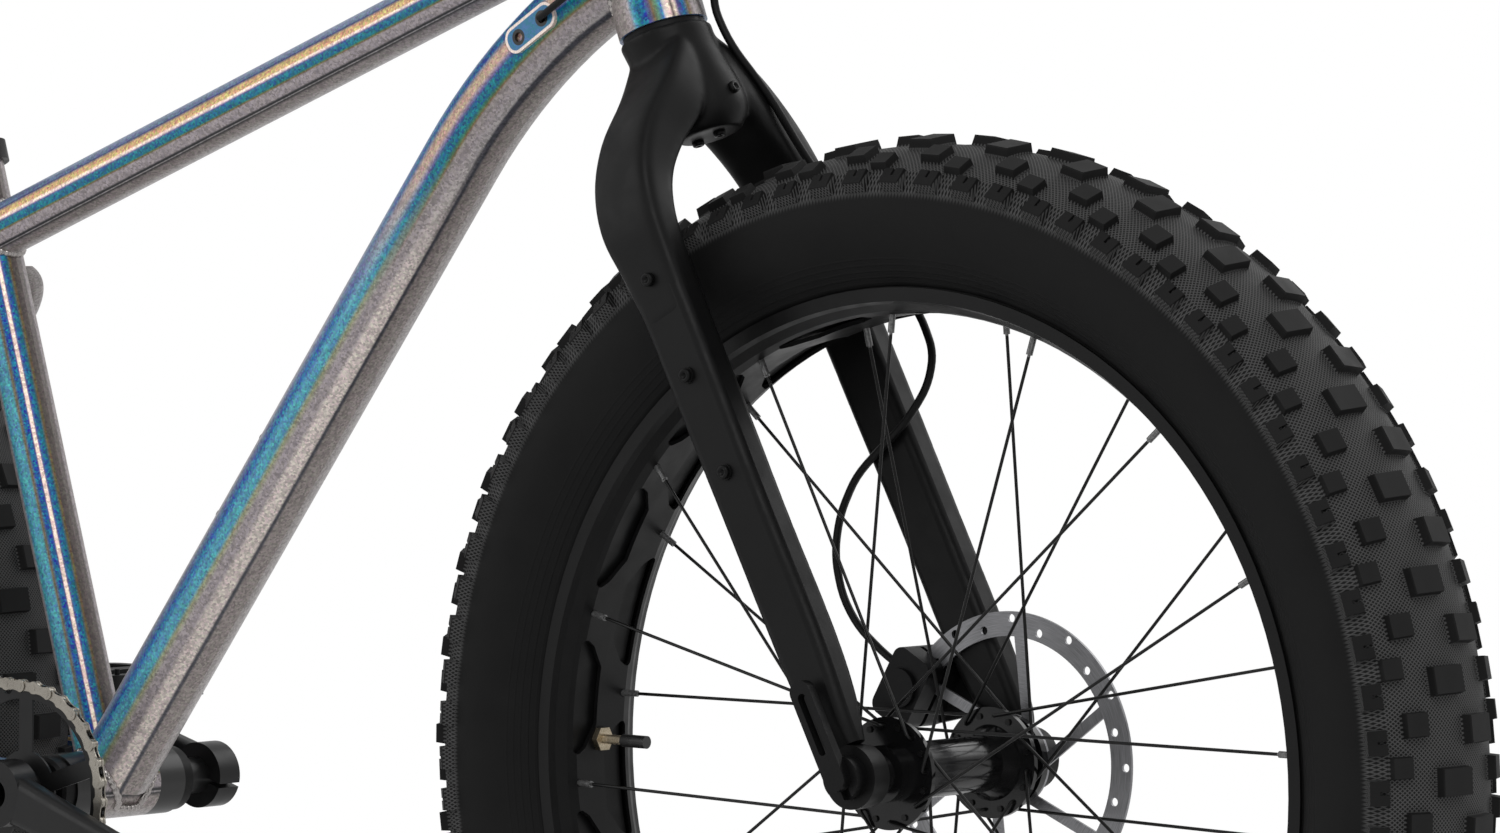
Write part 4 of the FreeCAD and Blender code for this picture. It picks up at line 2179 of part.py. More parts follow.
def build():
    """Make and write every sub-part."""
    wheel_nodes()
    save("head_tube", head_tube())
    save("headset_bearings", headset_bearings())
    save("top_tube", top_tube())
    save("down_tube", down_tube())
    save("seat_tube", seat_tube())
    save("seat_collar", seat_collar())
    save("bottom_bracket_shell", bottom_bracket_shell())
    save("bottom_bracket_cups", bottom_bracket_cups())
    save("chainstays", chainstays())
    save("seatstays", seatstays())
    save("dropouts", dropouts())
    save("rear_axle", rear_axle_rod())
    save("fork", fork())
    calipers()
    save("front_axle", front_axle_rod())
    save("axle_lever", axle_lever())
    save("chain", chain())
    save("cassette", cassette())
    save("upper_pulley", pulley(guide_centre(), roller_phase(guide_centre(), pitch_radius(pulley_teeth))))
    low = tension_centre(fitted_angle)
    save("lower_pulley", pulley(low, roller_phase(low, pitch_radius(pulley_teeth))))
    save("derailleur_cage", cage())
    save("rear_derailleur", rear_derailleur())
    cranks()
    save("chainring", chainring())
    save("headset_spacers", headset_spacers())
    save("stem", stem())
    save("cockpit_bolts", cockpit_bolts())
    save("handlebar", handlebar())
    save("grips", grips())
    save("brake_lever_mounts", both_sides(brake_mount()))
    save("left_brake_lever", [brake_lever()])
    save("right_brake_lever", [mirrored(brake_lever())])
    save("shifter", shifter())
    save("shift_down_lever", paddle(0, *down_paddle_shares, paddle_length))
    save("shift_up_lever", paddle(1, *up_paddle_shares, paddle_length * up_paddle_share))
    save("seatpost", seatpost())
    save("saddle", saddle())
    save("saddle_shell", saddle_shell())
    save("saddle_rails", saddle_rails())
    save("front_brake_hose", front_brake_hose())
    save("rear_brake_hose", rear_brake_hose())
    save("shift_cable", shift_cable())
    save("frame_fittings", frame_fittings())


os.makedirs("parts", exist_ok=True)
build()
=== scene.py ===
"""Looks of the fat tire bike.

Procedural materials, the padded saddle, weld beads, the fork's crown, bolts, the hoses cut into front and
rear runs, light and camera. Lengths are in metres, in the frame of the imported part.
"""

import math

import bmesh
import bpy
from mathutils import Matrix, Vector
from mathutils.bvhtree import BVHTree


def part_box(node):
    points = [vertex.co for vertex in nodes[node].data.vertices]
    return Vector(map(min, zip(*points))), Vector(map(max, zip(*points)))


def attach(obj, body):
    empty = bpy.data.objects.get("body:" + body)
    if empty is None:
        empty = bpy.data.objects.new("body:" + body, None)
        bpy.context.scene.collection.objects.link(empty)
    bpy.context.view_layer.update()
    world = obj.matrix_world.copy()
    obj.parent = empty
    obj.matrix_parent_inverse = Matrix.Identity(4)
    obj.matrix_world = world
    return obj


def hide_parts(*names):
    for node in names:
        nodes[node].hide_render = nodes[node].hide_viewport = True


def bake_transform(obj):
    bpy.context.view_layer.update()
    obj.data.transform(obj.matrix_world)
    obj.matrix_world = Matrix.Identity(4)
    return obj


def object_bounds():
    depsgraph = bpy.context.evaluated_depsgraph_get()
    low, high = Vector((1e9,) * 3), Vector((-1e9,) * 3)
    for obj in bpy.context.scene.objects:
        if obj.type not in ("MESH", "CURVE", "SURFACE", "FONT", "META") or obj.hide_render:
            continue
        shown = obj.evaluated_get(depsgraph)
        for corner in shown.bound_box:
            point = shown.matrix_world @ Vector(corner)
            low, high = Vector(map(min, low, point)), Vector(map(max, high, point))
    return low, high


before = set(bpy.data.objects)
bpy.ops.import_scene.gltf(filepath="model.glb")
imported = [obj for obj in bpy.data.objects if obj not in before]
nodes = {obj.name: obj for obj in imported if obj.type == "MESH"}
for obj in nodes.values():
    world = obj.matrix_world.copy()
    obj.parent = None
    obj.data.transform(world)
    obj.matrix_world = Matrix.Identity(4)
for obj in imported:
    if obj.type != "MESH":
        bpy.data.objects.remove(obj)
cad_box = [list(corner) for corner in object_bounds()]

# Places and sizes of the frame that the looks follow

LEFT = Vector((0.0, 1.0, 0.0))
FRONT_AXLE = Vector((0.572, 0.0, 0.377))
REAR_AXLE = Vector((-0.572, 0.0, 0.377))
CRANK_AXLE = Vector((-0.130, 0.0, 0.328))
HEAD_FOOT = Vector((0.35356, 0.0, 0.81846))
STEER_UP = Vector((-0.350207, 0.0, 0.936672))
SEAT_UP = Vector((-0.284015, 0.0, 0.958820))
HEAD_TUBE_RADIUS = 0.026
TOP_TUBE_RADIUS = 0.018
DOWN_TUBE_RADIUS = 0.025
SEAT_TUBE_RADIUS = 0.01745
SHELL_RADIUS = 0.023
TOP_MEET = 0.083
DOWN_MEET = 0.047
SEAT_MEET = 0.377
BEND_SLOPE = 31.0
DOWN_SLOPE = 52.4


def on_slope(degrees):
    """Direction in the frame's plane, from its slope."""
    return Vector((math.cos(math.radians(degrees)), 0.0, math.sin(math.radians(degrees))))


TOP_FOOT = CRANK_AXLE + SEAT_UP * SEAT_MEET
TOP_JOIN = HEAD_FOOT + STEER_UP * TOP_MEET
DOWN_JOIN = HEAD_FOOT + STEER_UP * DOWN_MEET
PORT_RUN = on_slope(BEND_SLOPE)
PORT_UP = on_slope(BEND_SLOPE + 90.0)
PORT_PLACE = 0.0808
PORT_CENTRE = DOWN_JOIN - PORT_RUN * PORT_PLACE
PORT_HALF_LENGTH = 0.022
PORT_HALF_WIDTH = 0.0085
PORT_CORNER = 0.00765
HOLE_SHADE_RADIUS = 0.0051


def linear(red, green, blue):
    """Colour for a shader socket from the shares that a picture shows."""

    def one(share):
        return share / 12.92 if share <= 0.04045 else ((share + 0.055) / 1.055) ** 2.4

    return (one(red), one(green), one(blue), 1.0)


class Shade:
    """A material under construction: short names for the nodes that it is made of."""

    def __init__(self, name):
        self.material = bpy.data.materials.new(name)
        self.material.use_nodes = True
        self.tree = self.material.node_tree
        self.shader = self.tree.nodes["Principled BSDF"]
        where = self.tree.nodes.new("ShaderNodeTexCoord")
        self.place = where.outputs["Object"]
        self.normal = where.outputs["Normal"]

    def feed(self, socket, value):
        """Links an output to a socket, or sets a plain value on it."""
        if isinstance(value, bpy.types.NodeSocket):
            self.tree.links.new(value, socket)
        else:
            socket.default_value = value

    def sum(self, operation, first, second=0.0, third=0.0):
        """One Math node."""
        node = self.tree.nodes.new("ShaderNodeMath")
        node.operation = operation
        for socket, value in zip(node.inputs, (first, second, third)):
            self.feed(socket, value)
        return node.outputs[0]

    def vector(self, operation, first, second):
        """One Vector Math node; a dot product or a length comes out as a number."""
        node = self.tree.nodes.new("ShaderNodeVectorMath")
        node.operation = operation
        self.feed(node.inputs[0], first)
        self.feed(node.inputs[1], second)
        return node.outputs["Value" if operation in ("DOT_PRODUCT", "LENGTH") else "Vector"]

    def parts(self, vector):
        """The three numbers of a vector."""
        node = self.tree.nodes.new("ShaderNodeSeparateXYZ")
        self.feed(node.inputs[0], vector)
        return node.outputs[0], node.outputs[1], node.outputs[2]

    def joined(self, x, y, z):
        """A vector from three numbers."""
        node = self.tree.nodes.new("ShaderNodeCombineXYZ")
        for socket, value in zip(node.inputs, (x, y, z)):
            self.feed(socket, value)
        return node.outputs[0]

    def noise(self, scale, detail=2.0, vector=None):
        """Soft noise from 0 to 1; scale is in waves to the metre."""
        node = self.tree.nodes.new("ShaderNodeTexNoise")
        node.inputs["Scale"].default_value = scale
        node.inputs["Detail"].default_value = detail
        self.tree.links.new(vector or self.place, node.inputs["Vector"])
        return node.outputs[0]

    def cells(self, scale, vector=None):
        """One random number to each small cell."""
        node = self.tree.nodes.new("ShaderNodeTexVoronoi")
        node.inputs["Scale"].default_value = scale
        self.tree.links.new(vector or self.place, node.inputs["Vector"])
        split = self.tree.nodes.new("ShaderNodeSeparateColor")
        self.tree.links.new(node.outputs["Color"], split.inputs[0])
        return split.outputs[0], split.outputs[1]

    def span(self, value, low, high, out_low=0.0, out_high=1.0):
        """Maps one range of numbers to another, smoothly and with ends held."""
        node = self.tree.nodes.new("ShaderNodeMapRange")
        node.interpolation_type = "SMOOTHSTEP"
        node.inputs["From Min"].default_value = low
        node.inputs["From Max"].default_value = high
        node.inputs["To Min"].default_value = out_low
        node.inputs["To Max"].default_value = out_high
        self.feed(node.inputs["Value"], value)
        return node.outputs[0]

    def ramp(self, value, stops):
        """Colours by a number from 0 to 1; each stop is its place and the colour shares a picture shows."""
        node = self.tree.nodes.new("ShaderNodeValToRGB")
        points = node.color_ramp.elements
        ordered = sorted(stops)
        while len(points) < len(ordered):
            points.new(0.5)
        for point, (place, colour) in zip(points, ordered):
            point.position = place
            point.color = linear(*colour)
        self.feed(node.inputs[0], value)
        return node.outputs[0]

    def mix(self, factor, first, second, way="MIX"):
        """Mixes two colours."""
        node = self.tree.nodes.new("ShaderNodeMix")
        node.data_type = "RGBA"
        node.blend_type = way
        self.feed(node.inputs[0], factor)
        self.feed(node.inputs[6], first)
        self.feed(node.inputs[7], second)
        return node.outputs[2]

    def bump(self, height, distance, strength=1.0):
        """Small relief from a height of 0 to 1, in metres at 1."""
        node = self.tree.nodes.new("ShaderNodeBump")
        node.inputs["Strength"].default_value = strength
        node.inputs["Distance"].default_value = distance
        self.tree.links.new(height, node.inputs["Height"])
        self.tree.links.new(node.outputs[0], self.shader.inputs["Normal"])

    def finish(self, **sockets):
        """Feeds the shader's sockets; words in a name are parted by underlines."""
        for name, value in sockets.items():
            self.feed(self.shader.inputs[name.replace("_", " ")], value)
        return self.material


def reach(shade, axle):
    """Radius from a wheel's axle, place across it, and angle round it."""
    x, y, z = shade.parts(shade.vector("SUBTRACT", shade.place, tuple(axle)))
    radius = shade.sum("SQRT", shade.sum("ADD", shade.sum("MULTIPLY", x, x), shade.sum("MULTIPLY", z, z)))
    return radius, y, shade.sum("ARCTAN2", z, x)


# Paint of the frame: silver with fine flake that breaks into colours in bands along each tube; the bands are
# laid by the way the surface faces and hold painted highlights and painted reflections

LAVENDER = (0.46, 0.52, 0.63)
NAVY = (0.20, 0.26, 0.46)
BLUE = (0.21, 0.42, 0.62)
TEAL = (0.10, 0.43, 0.54)
AQUA = (0.36, 0.60, 0.67)
GREEN = (0.28, 0.46, 0.36)
OLIVE = (0.45, 0.39, 0.26)
KHAKI = (0.57, 0.58, 0.46)
GOLD = (0.81, 0.69, 0.52)
BEIGE = (0.73, 0.63, 0.56)
PEACH_HIGHLIGHT = (1.00, 0.91, 0.86)
PURPLE = (0.36, 0.35, 0.54)
MAUVE = (0.60, 0.57, 0.58)
ROSE_HIGHLIGHT = (0.83, 0.79, 0.77)
SILVER = (0.64, 0.62, 0.62)
GREY = (0.56, 0.53, 0.52)
BROWN = (0.32, 0.29, 0.28)
SLATE_REFLECTION = (0.27, 0.27, 0.30)
DARK_REFLECTION = (0.14, 0.14, 0.15)

# Stops of each tube's bands: the paint's silver and flake colours, with painted highlights in peach and rose
# and painted reflections in the grey and the dark stripes
TOP_TINTS_AND_REFLECTIONS = (
    (0.00, LAVENDER), (0.12, LAVENDER), (0.15, NAVY), (0.20, GOLD), (0.29, GOLD), (0.315, PEACH_HIGHLIGHT),
    (0.35, PURPLE), (0.38, TEAL), (0.46, TEAL), (0.495, GREEN), (0.52, OLIVE), (0.545, MAUVE), (0.70, MAUVE),
    (0.73, DARK_REFLECTION), (0.755, DARK_REFLECTION), (0.765, SILVER), (0.785, DARK_REFLECTION), (0.83, GREY), (0.92, GREY), (1.00, SILVER),
)
BEND_TINTS_AND_REFLECTIONS = (
    (0.00, BLUE), (0.08, BLUE), (0.14, BEIGE), (0.21, BEIGE), (0.28, PURPLE), (0.32, TEAL), (0.39, TEAL),
    (0.43, GREEN), (0.455, OLIVE), (0.48, GREY), (0.58, MAUVE), (0.70, SILVER), (0.725, SLATE_REFLECTION),
    (0.77, SLATE_REFLECTION), (0.80, GREY), (0.92, GREY), (1.00, SILVER),
)
DOWN_TINTS_AND_REFLECTIONS = (
    (0.00, SILVER), (0.05, LAVENDER), (0.11, BLUE), (0.20, AQUA), (0.28, AQUA), (0.33, KHAKI),
    (0.40, MAUVE), (0.50, MAUVE), (0.56, ROSE_HIGHLIGHT), (0.70, ROSE_HIGHLIGHT), (0.72, SLATE_REFLECTION), (0.74, SLATE_REFLECTION),
    (0.765, GREY), (0.90, GREY), (1.00, SILVER),
)
SEAT_TINTS_AND_REFLECTIONS = (
    (0.00, GREY), (0.03, MAUVE), (0.08, AQUA), (0.28, AQUA), (0.34, OLIVE), (0.40, BLUE), (0.47, BLUE),
    (0.495, PURPLE), (0.515, PEACH_HIGHLIGHT), (0.565, PEACH_HIGHLIGHT), (0.585, PURPLE), (0.62, BLUE), (0.69, TEAL),
    (0.75, OLIVE), (0.79, BROWN), (0.94, BROWN), (0.97, MAUVE), (1.00, GREY),
)
HEAD_TINTS_AND_REFLECTIONS = (
    (0.00, GREY), (0.12, GREY), (0.17, MAUVE), (0.21, AQUA), (0.27, TEAL), (0.33, BLUE), (0.38, PURPLE),
    (0.42, OLIVE), (0.47, GREEN), (0.52, BLUE), (0.55, ROSE_HIGHLIGHT), (0.60, PEACH_HIGHLIGHT), (0.63, BROWN), (0.66, PEACH_HIGHLIGHT),
    (0.70, PURPLE), (0.76, BLUE), (0.81, OLIVE), (0.86, MAUVE), (0.92, BROWN), (1.00, SLATE_REFLECTION),
)
TOP_WAY = (-0.335, -0.238, 0.911)
BEND_WAY = (-0.575, -0.447, 0.685)
DOWN_WAY = (-0.670, -0.533, 0.516)
SIDE_WAY = (-0.7255, -0.6539, -0.2149)


FLAKES = 700.0
COATED = {"Metallic": 0.25, "Coat_Weight": 0.12, "Coat_Roughness": 0.12}


def bands(shade, way, stops, wander):
    """Colour by how the surface leans along one direction, first stop where it leans there fully; this lays
    painted highlights and painted reflections by the way the surface faces.
    """
    lean = shade.vector("DOT_PRODUCT", shade.normal, way)
    loose = shade.sum("MULTIPLY_ADD", shade.noise(7.0, 3.0), wander, -wander / 2)
    place = shade.sum("MULTIPLY_ADD", shade.sum("ADD", lean, loose), -0.5, 0.5)
    return shade.ramp(place, stops)


def paint(name, way, stops, second=None, sleeve=None, wander=0.05):
    """Frame paint; second is a further direction and bands that take over between two heights.

    Beyond a sleeve, measured from the middle plane, the piece is black.
    """
    shade = Shade(name)
    colour = bands(shade, way, stops, wander)
    if second:
        other_way, other_stops, low, high = second
        height = shade.parts(shade.place)[2]
        other = bands(shade, other_way, other_stops, wander)
        colour = shade.mix(shade.span(height, low, high), colour, other)
    flake, tint = shade.cells(FLAKES)
    fine = shade.noise(1500.0, 1.0)
    light = shade.sum("MULTIPLY_ADD", flake, 0.66, 0.64)
    light = shade.sum("MULTIPLY", light, shade.sum("MULTIPLY_ADD", fine, 0.5, 0.75))
    grey = shade.joined(light, light, light)
    colour = shade.mix(1.0, colour, grey, "MULTIPLY")
    hue = shade.tree.nodes.new("ShaderNodeHueSaturation")
    shade.feed(hue.inputs["Hue"], shade.sum("MULTIPLY_ADD", tint, 0.12, 0.44))
    hue.inputs["Saturation"].default_value = 1.15
    shade.feed(hue.inputs["Color"], colour)
    colour = hue.outputs[0]
    if sleeve:
        out = shade.sum("ABSOLUTE", shade.parts(shade.place)[1])
        past = shade.span(out, sleeve - 0.0003, sleeve + 0.0003)
        colour = shade.mix(past, colour, linear(0.08, 0.08, 0.08))
    shade.bump(flake, 0.00002, 0.25)
    rough = shade.sum("MULTIPLY_ADD", shade.noise(40.0), 0.10, 0.30)
    return shade.finish(Base_Color=colour, Roughness=rough, **COATED)


def port_plate(name):
    """Cable port: its face in the tube's blue, a pale border that is a painted reflection of its bevel, and a
    dark disc of painted shade over each hole.
    """
    shade = Shade(name)
    offset = shade.vector("SUBTRACT", shade.place, tuple(PORT_CENTRE))
    along = shade.sum("ABSOLUTE", shade.vector("DOT_PRODUCT", offset, tuple(PORT_RUN)))
    up = shade.sum("ABSOLUTE", shade.vector("DOT_PRODUCT", offset, tuple(PORT_UP)))

    def length(first, second):
        square = shade.sum("MULTIPLY", second, second)
        return shade.sum("SQRT", shade.sum("MULTIPLY_ADD", first, first, square))

    corner = PORT_CORNER
    past_end = shade.sum("MAXIMUM", shade.sum("SUBTRACT", along, PORT_HALF_LENGTH - corner), 0.0)
    past_side = shade.sum("MAXIMUM", shade.sum("SUBTRACT", up, PORT_HALF_WIDTH - corner), 0.0)
    # The border is a pale band of painted reflection, where the plate's bevel catches the light.
    border = shade.span(length(past_end, past_side), corner - 0.0021, corner - 0.0015)
    from_hole = length(shade.sum("SUBTRACT", along, PORT_HALF_LENGTH / 2), up)
    flake, tint = shade.cells(FLAKES)
    face = shade.ramp(flake, ((0.2, BLUE), (0.8, TEAL)))
    bevel_reflection = shade.ramp(shade.noise(900.0), ((0.3, ROSE_HIGHLIGHT), (0.7, PEACH_HIGHLIGHT)))
    colour = shade.mix(border, face, bevel_reflection)
    # A dark disc over each hole: painted shade of the open hole.
    past_hole_shade = shade.span(from_hole, HOLE_SHADE_RADIUS - 0.0002, HOLE_SHADE_RADIUS + 0.0002)
    colour = shade.mix(past_hole_shade, linear(0.07, 0.07, 0.07), colour)
    rough = shade.sum("MULTIPLY_ADD", tint, 0.12, 0.26)
    return shade.finish(Base_Color=colour, Roughness=rough, **COATED)


def satin(name, dark, pale, rough_low, rough_high, grain=900.0, metallic=0.0, specular=0.16, relief=0.00004):
    """Coated, moulded or anodised surface: two close tones, uneven sheen and a fine grain."""
    shade = Shade(name)
    wide = shade.noise(16.0, 3.0)
    fine = shade.noise(grain, 2.0)
    tone = shade.sum("MULTIPLY_ADD", wide, 0.6, shade.sum("MULTIPLY", fine, 0.4))
    colour = shade.ramp(tone, ((0.3, dark), (0.7, pale)))
    rough = shade.span(shade.noise(60.0, 3.0), 0.3, 0.7, rough_low, rough_high)
    shade.bump(fine, relief, 0.5)
    return shade.finish(Base_Color=colour, Roughness=rough, Metallic=metallic, Specular_IOR_Level=specular)


def brushed(name, dark, pale, axle, rough_low, rough_high):
    """Steel ground round an axle: rings of fine scratches."""
    shade = Shade(name)
    radius, across, angle = reach(shade, axle)
    ring = shade.joined(shade.sum("MULTIPLY", radius, 2600.0), shade.sum("MULTIPLY", angle, 6.0), 0.0)
    scratch = shade.noise(1.0, 3.0, ring)
    colour = shade.ramp(scratch, ((0.25, dark), (0.75, pale)))
    rough = shade.span(scratch, 0.2, 0.8, rough_low, rough_high)
    shade.bump(scratch, 0.00002, 0.4)
    return shade.finish(Base_Color=colour, Metallic=0.85, Roughness=rough)


CASING_RING = 0.28374
CASING_SECTION = 0.08701
TREAD_RADIUS = 0.3708
HATCH_PITCH = 0.0026
WALL_LINE_PITCH = 0.0036


def tyre_rubber(name, axle):
    """Tyre: hatched panels between the blocks with a painted highlight on their ridges, plain worn block
    tops, and moulded lines on the sidewall.
    """
    shade = Shade(name)
    radius, across, angle = reach(shade, axle)
    in_plane = shade.sum("SUBTRACT", radius, CASING_RING)
    bulge = shade.sum("SQRT", shade.sum("ADD", shade.sum("MULTIPLY", in_plane, in_plane),
                                        shade.sum("MULTIPLY", across, across)))
    stand = shade.sum("SUBTRACT", bulge, CASING_SECTION)
    panel = shade.span(stand, 0.0006, 0.0014, 1.0, 0.0)
    tread = shade.span(radius, 0.338, 0.344)
    along = shade.sum("MULTIPLY", angle, TREAD_RADIUS)
    hatch = None
    for turn in (1.0, -1.0):
        line = shade.sum("ADD", along, shade.sum("MULTIPLY", across, turn))
        wave = shade.sum("SINE", shade.sum("MULTIPLY", line, 2 * math.pi / HATCH_PITCH))
        hatch = wave if hatch is None else shade.sum("MAXIMUM", hatch, wave)
    hatch = shade.span(hatch, 0.0, 0.9)
    mask = shade.sum("MULTIPLY", panel, tread)
    rings = shade.sum("SINE", shade.sum("MULTIPLY", radius, 2 * math.pi / WALL_LINE_PITCH))
    past_rim = shade.span(radius, 0.2885, 0.2900)
    ring_zone = shade.sum("MULTIPLY", past_rim, shade.span(radius, 0.3040, 0.3055, 1.0, 0.0))
    rings = shade.sum("MULTIPLY", shade.span(rings, 0.3, 0.9), ring_zone)
    dust = shade.noise(30.0, 4.0)
    grain = shade.noise(1400.0, 2.0)
    rubber = shade.ramp(dust, ((0.3, (0.075, 0.075, 0.076)), (0.7, (0.105, 0.104, 0.104))))
    wall = shade.ramp(dust, ((0.3, (0.065, 0.065, 0.066)), (0.7, (0.088, 0.088, 0.088))))
    colour = shade.mix(tread, wall, rubber)
    # Hatch ridges painted lighter: a painted highlight on the moulded relief that the bump also gives.
    glint_and_wear = shade.mix(shade.sum("MULTIPLY", mask, hatch), colour, linear(0.29, 0.29, 0.29))
    worn = shade.span(stand, 0.0048, 0.0058, 0.0, 0.35)
    glint_and_wear = shade.mix(shade.sum("MULTIPLY", worn, tread), glint_and_wear, linear(0.16, 0.16, 0.16))
    height = shade.sum("ADD", shade.sum("MULTIPLY", shade.sum("MULTIPLY", mask, hatch), 0.5),
                       shade.sum("MULTIPLY_ADD", rings, 0.5, shade.sum("MULTIPLY", grain, 0.10)))
    shade.bump(height, 0.0006, 0.7)
    rough = shade.span(dust, 0.3, 0.7, 0.50, 0.64)
    return shade.finish(Base_Color=glint_and_wear, Roughness=rough, Specular_IOR_Level=0.10)


def two_tone(name, axle, inner, outer, radius, metallic, rough):
    """Two finishes on one wheel part, parted at a radius from its axle."""
    shade = Shade(name)
    place, across, angle = reach(shade, axle)
    fine = shade.noise(700.0, 2.0)
    first = shade.ramp(fine, ((0.3, inner[0]), (0.7, inner[1])))
    second = shade.ramp(fine, ((0.3, outer[0]), (0.7, outer[1])))
    colour = shade.mix(shade.span(place, radius - 0.0003, radius + 0.0003), first, second)
    shade.bump(fine, 0.00003, 0.4)
    roughness = shade.sum("MULTIPLY_ADD", shade.noise(90.0), 0.12, rough)
    return shade.finish(Base_Color=colour, Metallic=metallic, Roughness=roughness)


def valve_metal(name, axle):
    """Valve: bright stem, dark plate nut at the rim and a black cap at its tip."""
    shade = Shade(name)
    place, across, angle = reach(shade, axle)
    fine = shade.noise(900.0, 2.0)
    stem = shade.ramp(fine, ((0.3, (0.66, 0.60, 0.50)), (0.7, (0.82, 0.77, 0.68))))
    black = shade.ramp(fine, ((0.3, (0.09, 0.09, 0.09)), (0.7, (0.13, 0.13, 0.13))))
    nut = shade.ramp(fine, ((0.3, (0.34, 0.31, 0.26)), (0.7, (0.44, 0.41, 0.35))))
    low, high = VALVE_CAP, VALVE_NUT
    colour = shade.mix(shade.span(place, low - 0.0002, low + 0.0002), black, stem)
    colour = shade.mix(shade.span(place, high - 0.0002, high + 0.0002), colour, nut)
    thread = shade.sum("SINE", shade.sum("MULTIPLY", place, 2 * math.pi / 0.0009))
    shade.bump(shade.span(thread, -0.8, 0.8), 0.0002, 0.5)
    metal = shade.span(place, low - 0.0002, low + 0.0002, 0.0, 0.9)
    rough = shade.sum("MULTIPLY_ADD", shade.noise(120.0), 0.14, 0.22)
    return shade.finish(Base_Color=colour, Metallic=metal, Roughness=rough)


def leather(name):
    """Synthetic leather: pebbled grain, paler on its crests and darker in its grooves."""
    shade = Shade(name)
    node = shade.tree.nodes.new("ShaderNodeTexVoronoi")
    node.feature = "DISTANCE_TO_EDGE"
    node.inputs["Scale"].default_value = 620.0
    shade.tree.links.new(shade.place, node.inputs["Vector"])
    pebble = shade.span(node.outputs["Distance"], 0.0, 0.35)
    tone = shade.sum("MULTIPLY_ADD", shade.noise(25.0, 3.0), 0.5, shade.sum("MULTIPLY", pebble, 0.5))
    colour = shade.ramp(tone, ((0.25, (0.085, 0.085, 0.088)), (0.75, (0.155, 0.153, 0.152))))
    rough = shade.span(pebble, 0.0, 1.0, 0.62, 0.46)
    shade.bump(pebble, 0.00025, 0.6)
    return shade.finish(Base_Color=colour, Roughness=rough, Specular_IOR_Level=0.35)


VALVE_CAP = 0.2515
VALVE_NUT = 0.2664
NIPPLE_FOOT = 0.259

black_alloy = satin("black_alloy", (0.060, 0.060, 0.062), (0.095, 0.095, 0.097), 0.34, 0.48, metallic=0.3)
crank_black = satin("crank_black", (0.060, 0.060, 0.062), (0.090, 0.090, 0.092), 0.28, 0.40, specular=0.26)
gloss_black = satin("gloss_black", (0.040, 0.040, 0.042), (0.065, 0.065, 0.067), 0.10, 0.20, specular=0.40)
carbon = satin("carbon_black", (0.045, 0.045, 0.046), (0.066, 0.066, 0.067), 0.36, 0.48, specular=0.15)
rim_black = satin("rim_black", (0.050, 0.050, 0.051), (0.075, 0.075, 0.076), 0.34, 0.46)
plastic = satin("black_plastic", (0.060, 0.060, 0.061), (0.095, 0.095, 0.096), 0.46, 0.60, grain=1500.0)
hose_black = satin("hose_black", (0.045, 0.045, 0.046), (0.075, 0.075, 0.076), 0.34, 0.46, grain=1200.0)
grip_rubber = satin("grip_rubber", (0.060, 0.060, 0.060), (0.095, 0.095, 0.094), 0.66, 0.80,
                    grain=1100.0, relief=0.0002)
black_steel = satin("black_steel", (0.070, 0.070, 0.071), (0.120, 0.120, 0.121), 0.26, 0.40, metallic=0.6)
chain_steel = satin("chain_steel", (0.50, 0.48, 0.45), (0.72, 0.70, 0.66), 0.24, 0.40,
                    metallic=0.9, grain=1800.0)
bead_steel = satin("bead_silver", (0.56, 0.54, 0.53), (0.74, 0.72, 0.71), 0.18, 0.32,
                   metallic=0.85, grain=1400.0)

node_materials = {
    "top_tube": paint("paint_top", TOP_WAY, TOP_TINTS_AND_REFLECTIONS),
    "down_tube": paint("paint_down", DOWN_WAY, DOWN_TINTS_AND_REFLECTIONS, (BEND_WAY, BEND_TINTS_AND_REFLECTIONS, 0.63, 0.76)),
    "seat_tube": paint("paint_seat", SIDE_WAY, SEAT_TINTS_AND_REFLECTIONS),
    "head_tube": paint("paint_head", SIDE_WAY, HEAD_TINTS_AND_REFLECTIONS),
    "bottom_bracket_shell": paint("paint_shell", TOP_WAY, TOP_TINTS_AND_REFLECTIONS, sleeve=0.027),
    "chainstays": paint("paint_chainstays", TOP_WAY, TOP_TINTS_AND_REFLECTIONS),
    "seatstays": paint("paint_seatstays", BEND_WAY, BEND_TINTS_AND_REFLECTIONS),
    "dropouts": paint("paint_dropouts", SIDE_WAY, SEAT_TINTS_AND_REFLECTIONS),
    "frame_fittings": port_plate("paint_port"),
    "fork": carbon,
    "front_hub": gloss_black, "rear_hub": gloss_black,
    "front_rim": rim_black, "rear_rim": rim_black,
    "chain": chain_steel,
    "cassette": brushed("cassette_steel", (0.34, 0.34, 0.34), (0.56, 0.56, 0.55), REAR_AXLE, 0.26, 0.40),
    "chainring": crank_black, "right_crank": crank_black, "left_crank": crank_black,
    "saddle_shell": plastic, "shifter": plastic, "shift_down_lever": plastic, "shift_up_lever": plastic,
    "upper_pulley": plastic, "lower_pulley": plastic, "left_pedal": plastic, "right_pedal": plastic,
    "front_brake_hose": hose_black, "rear_brake_hose": hose_black, "shift_cable": hose_black,
    "grips": grip_rubber,
    "saddle_rails": black_steel, "cockpit_bolts": black_steel, "headset_bearings": black_steel,
}
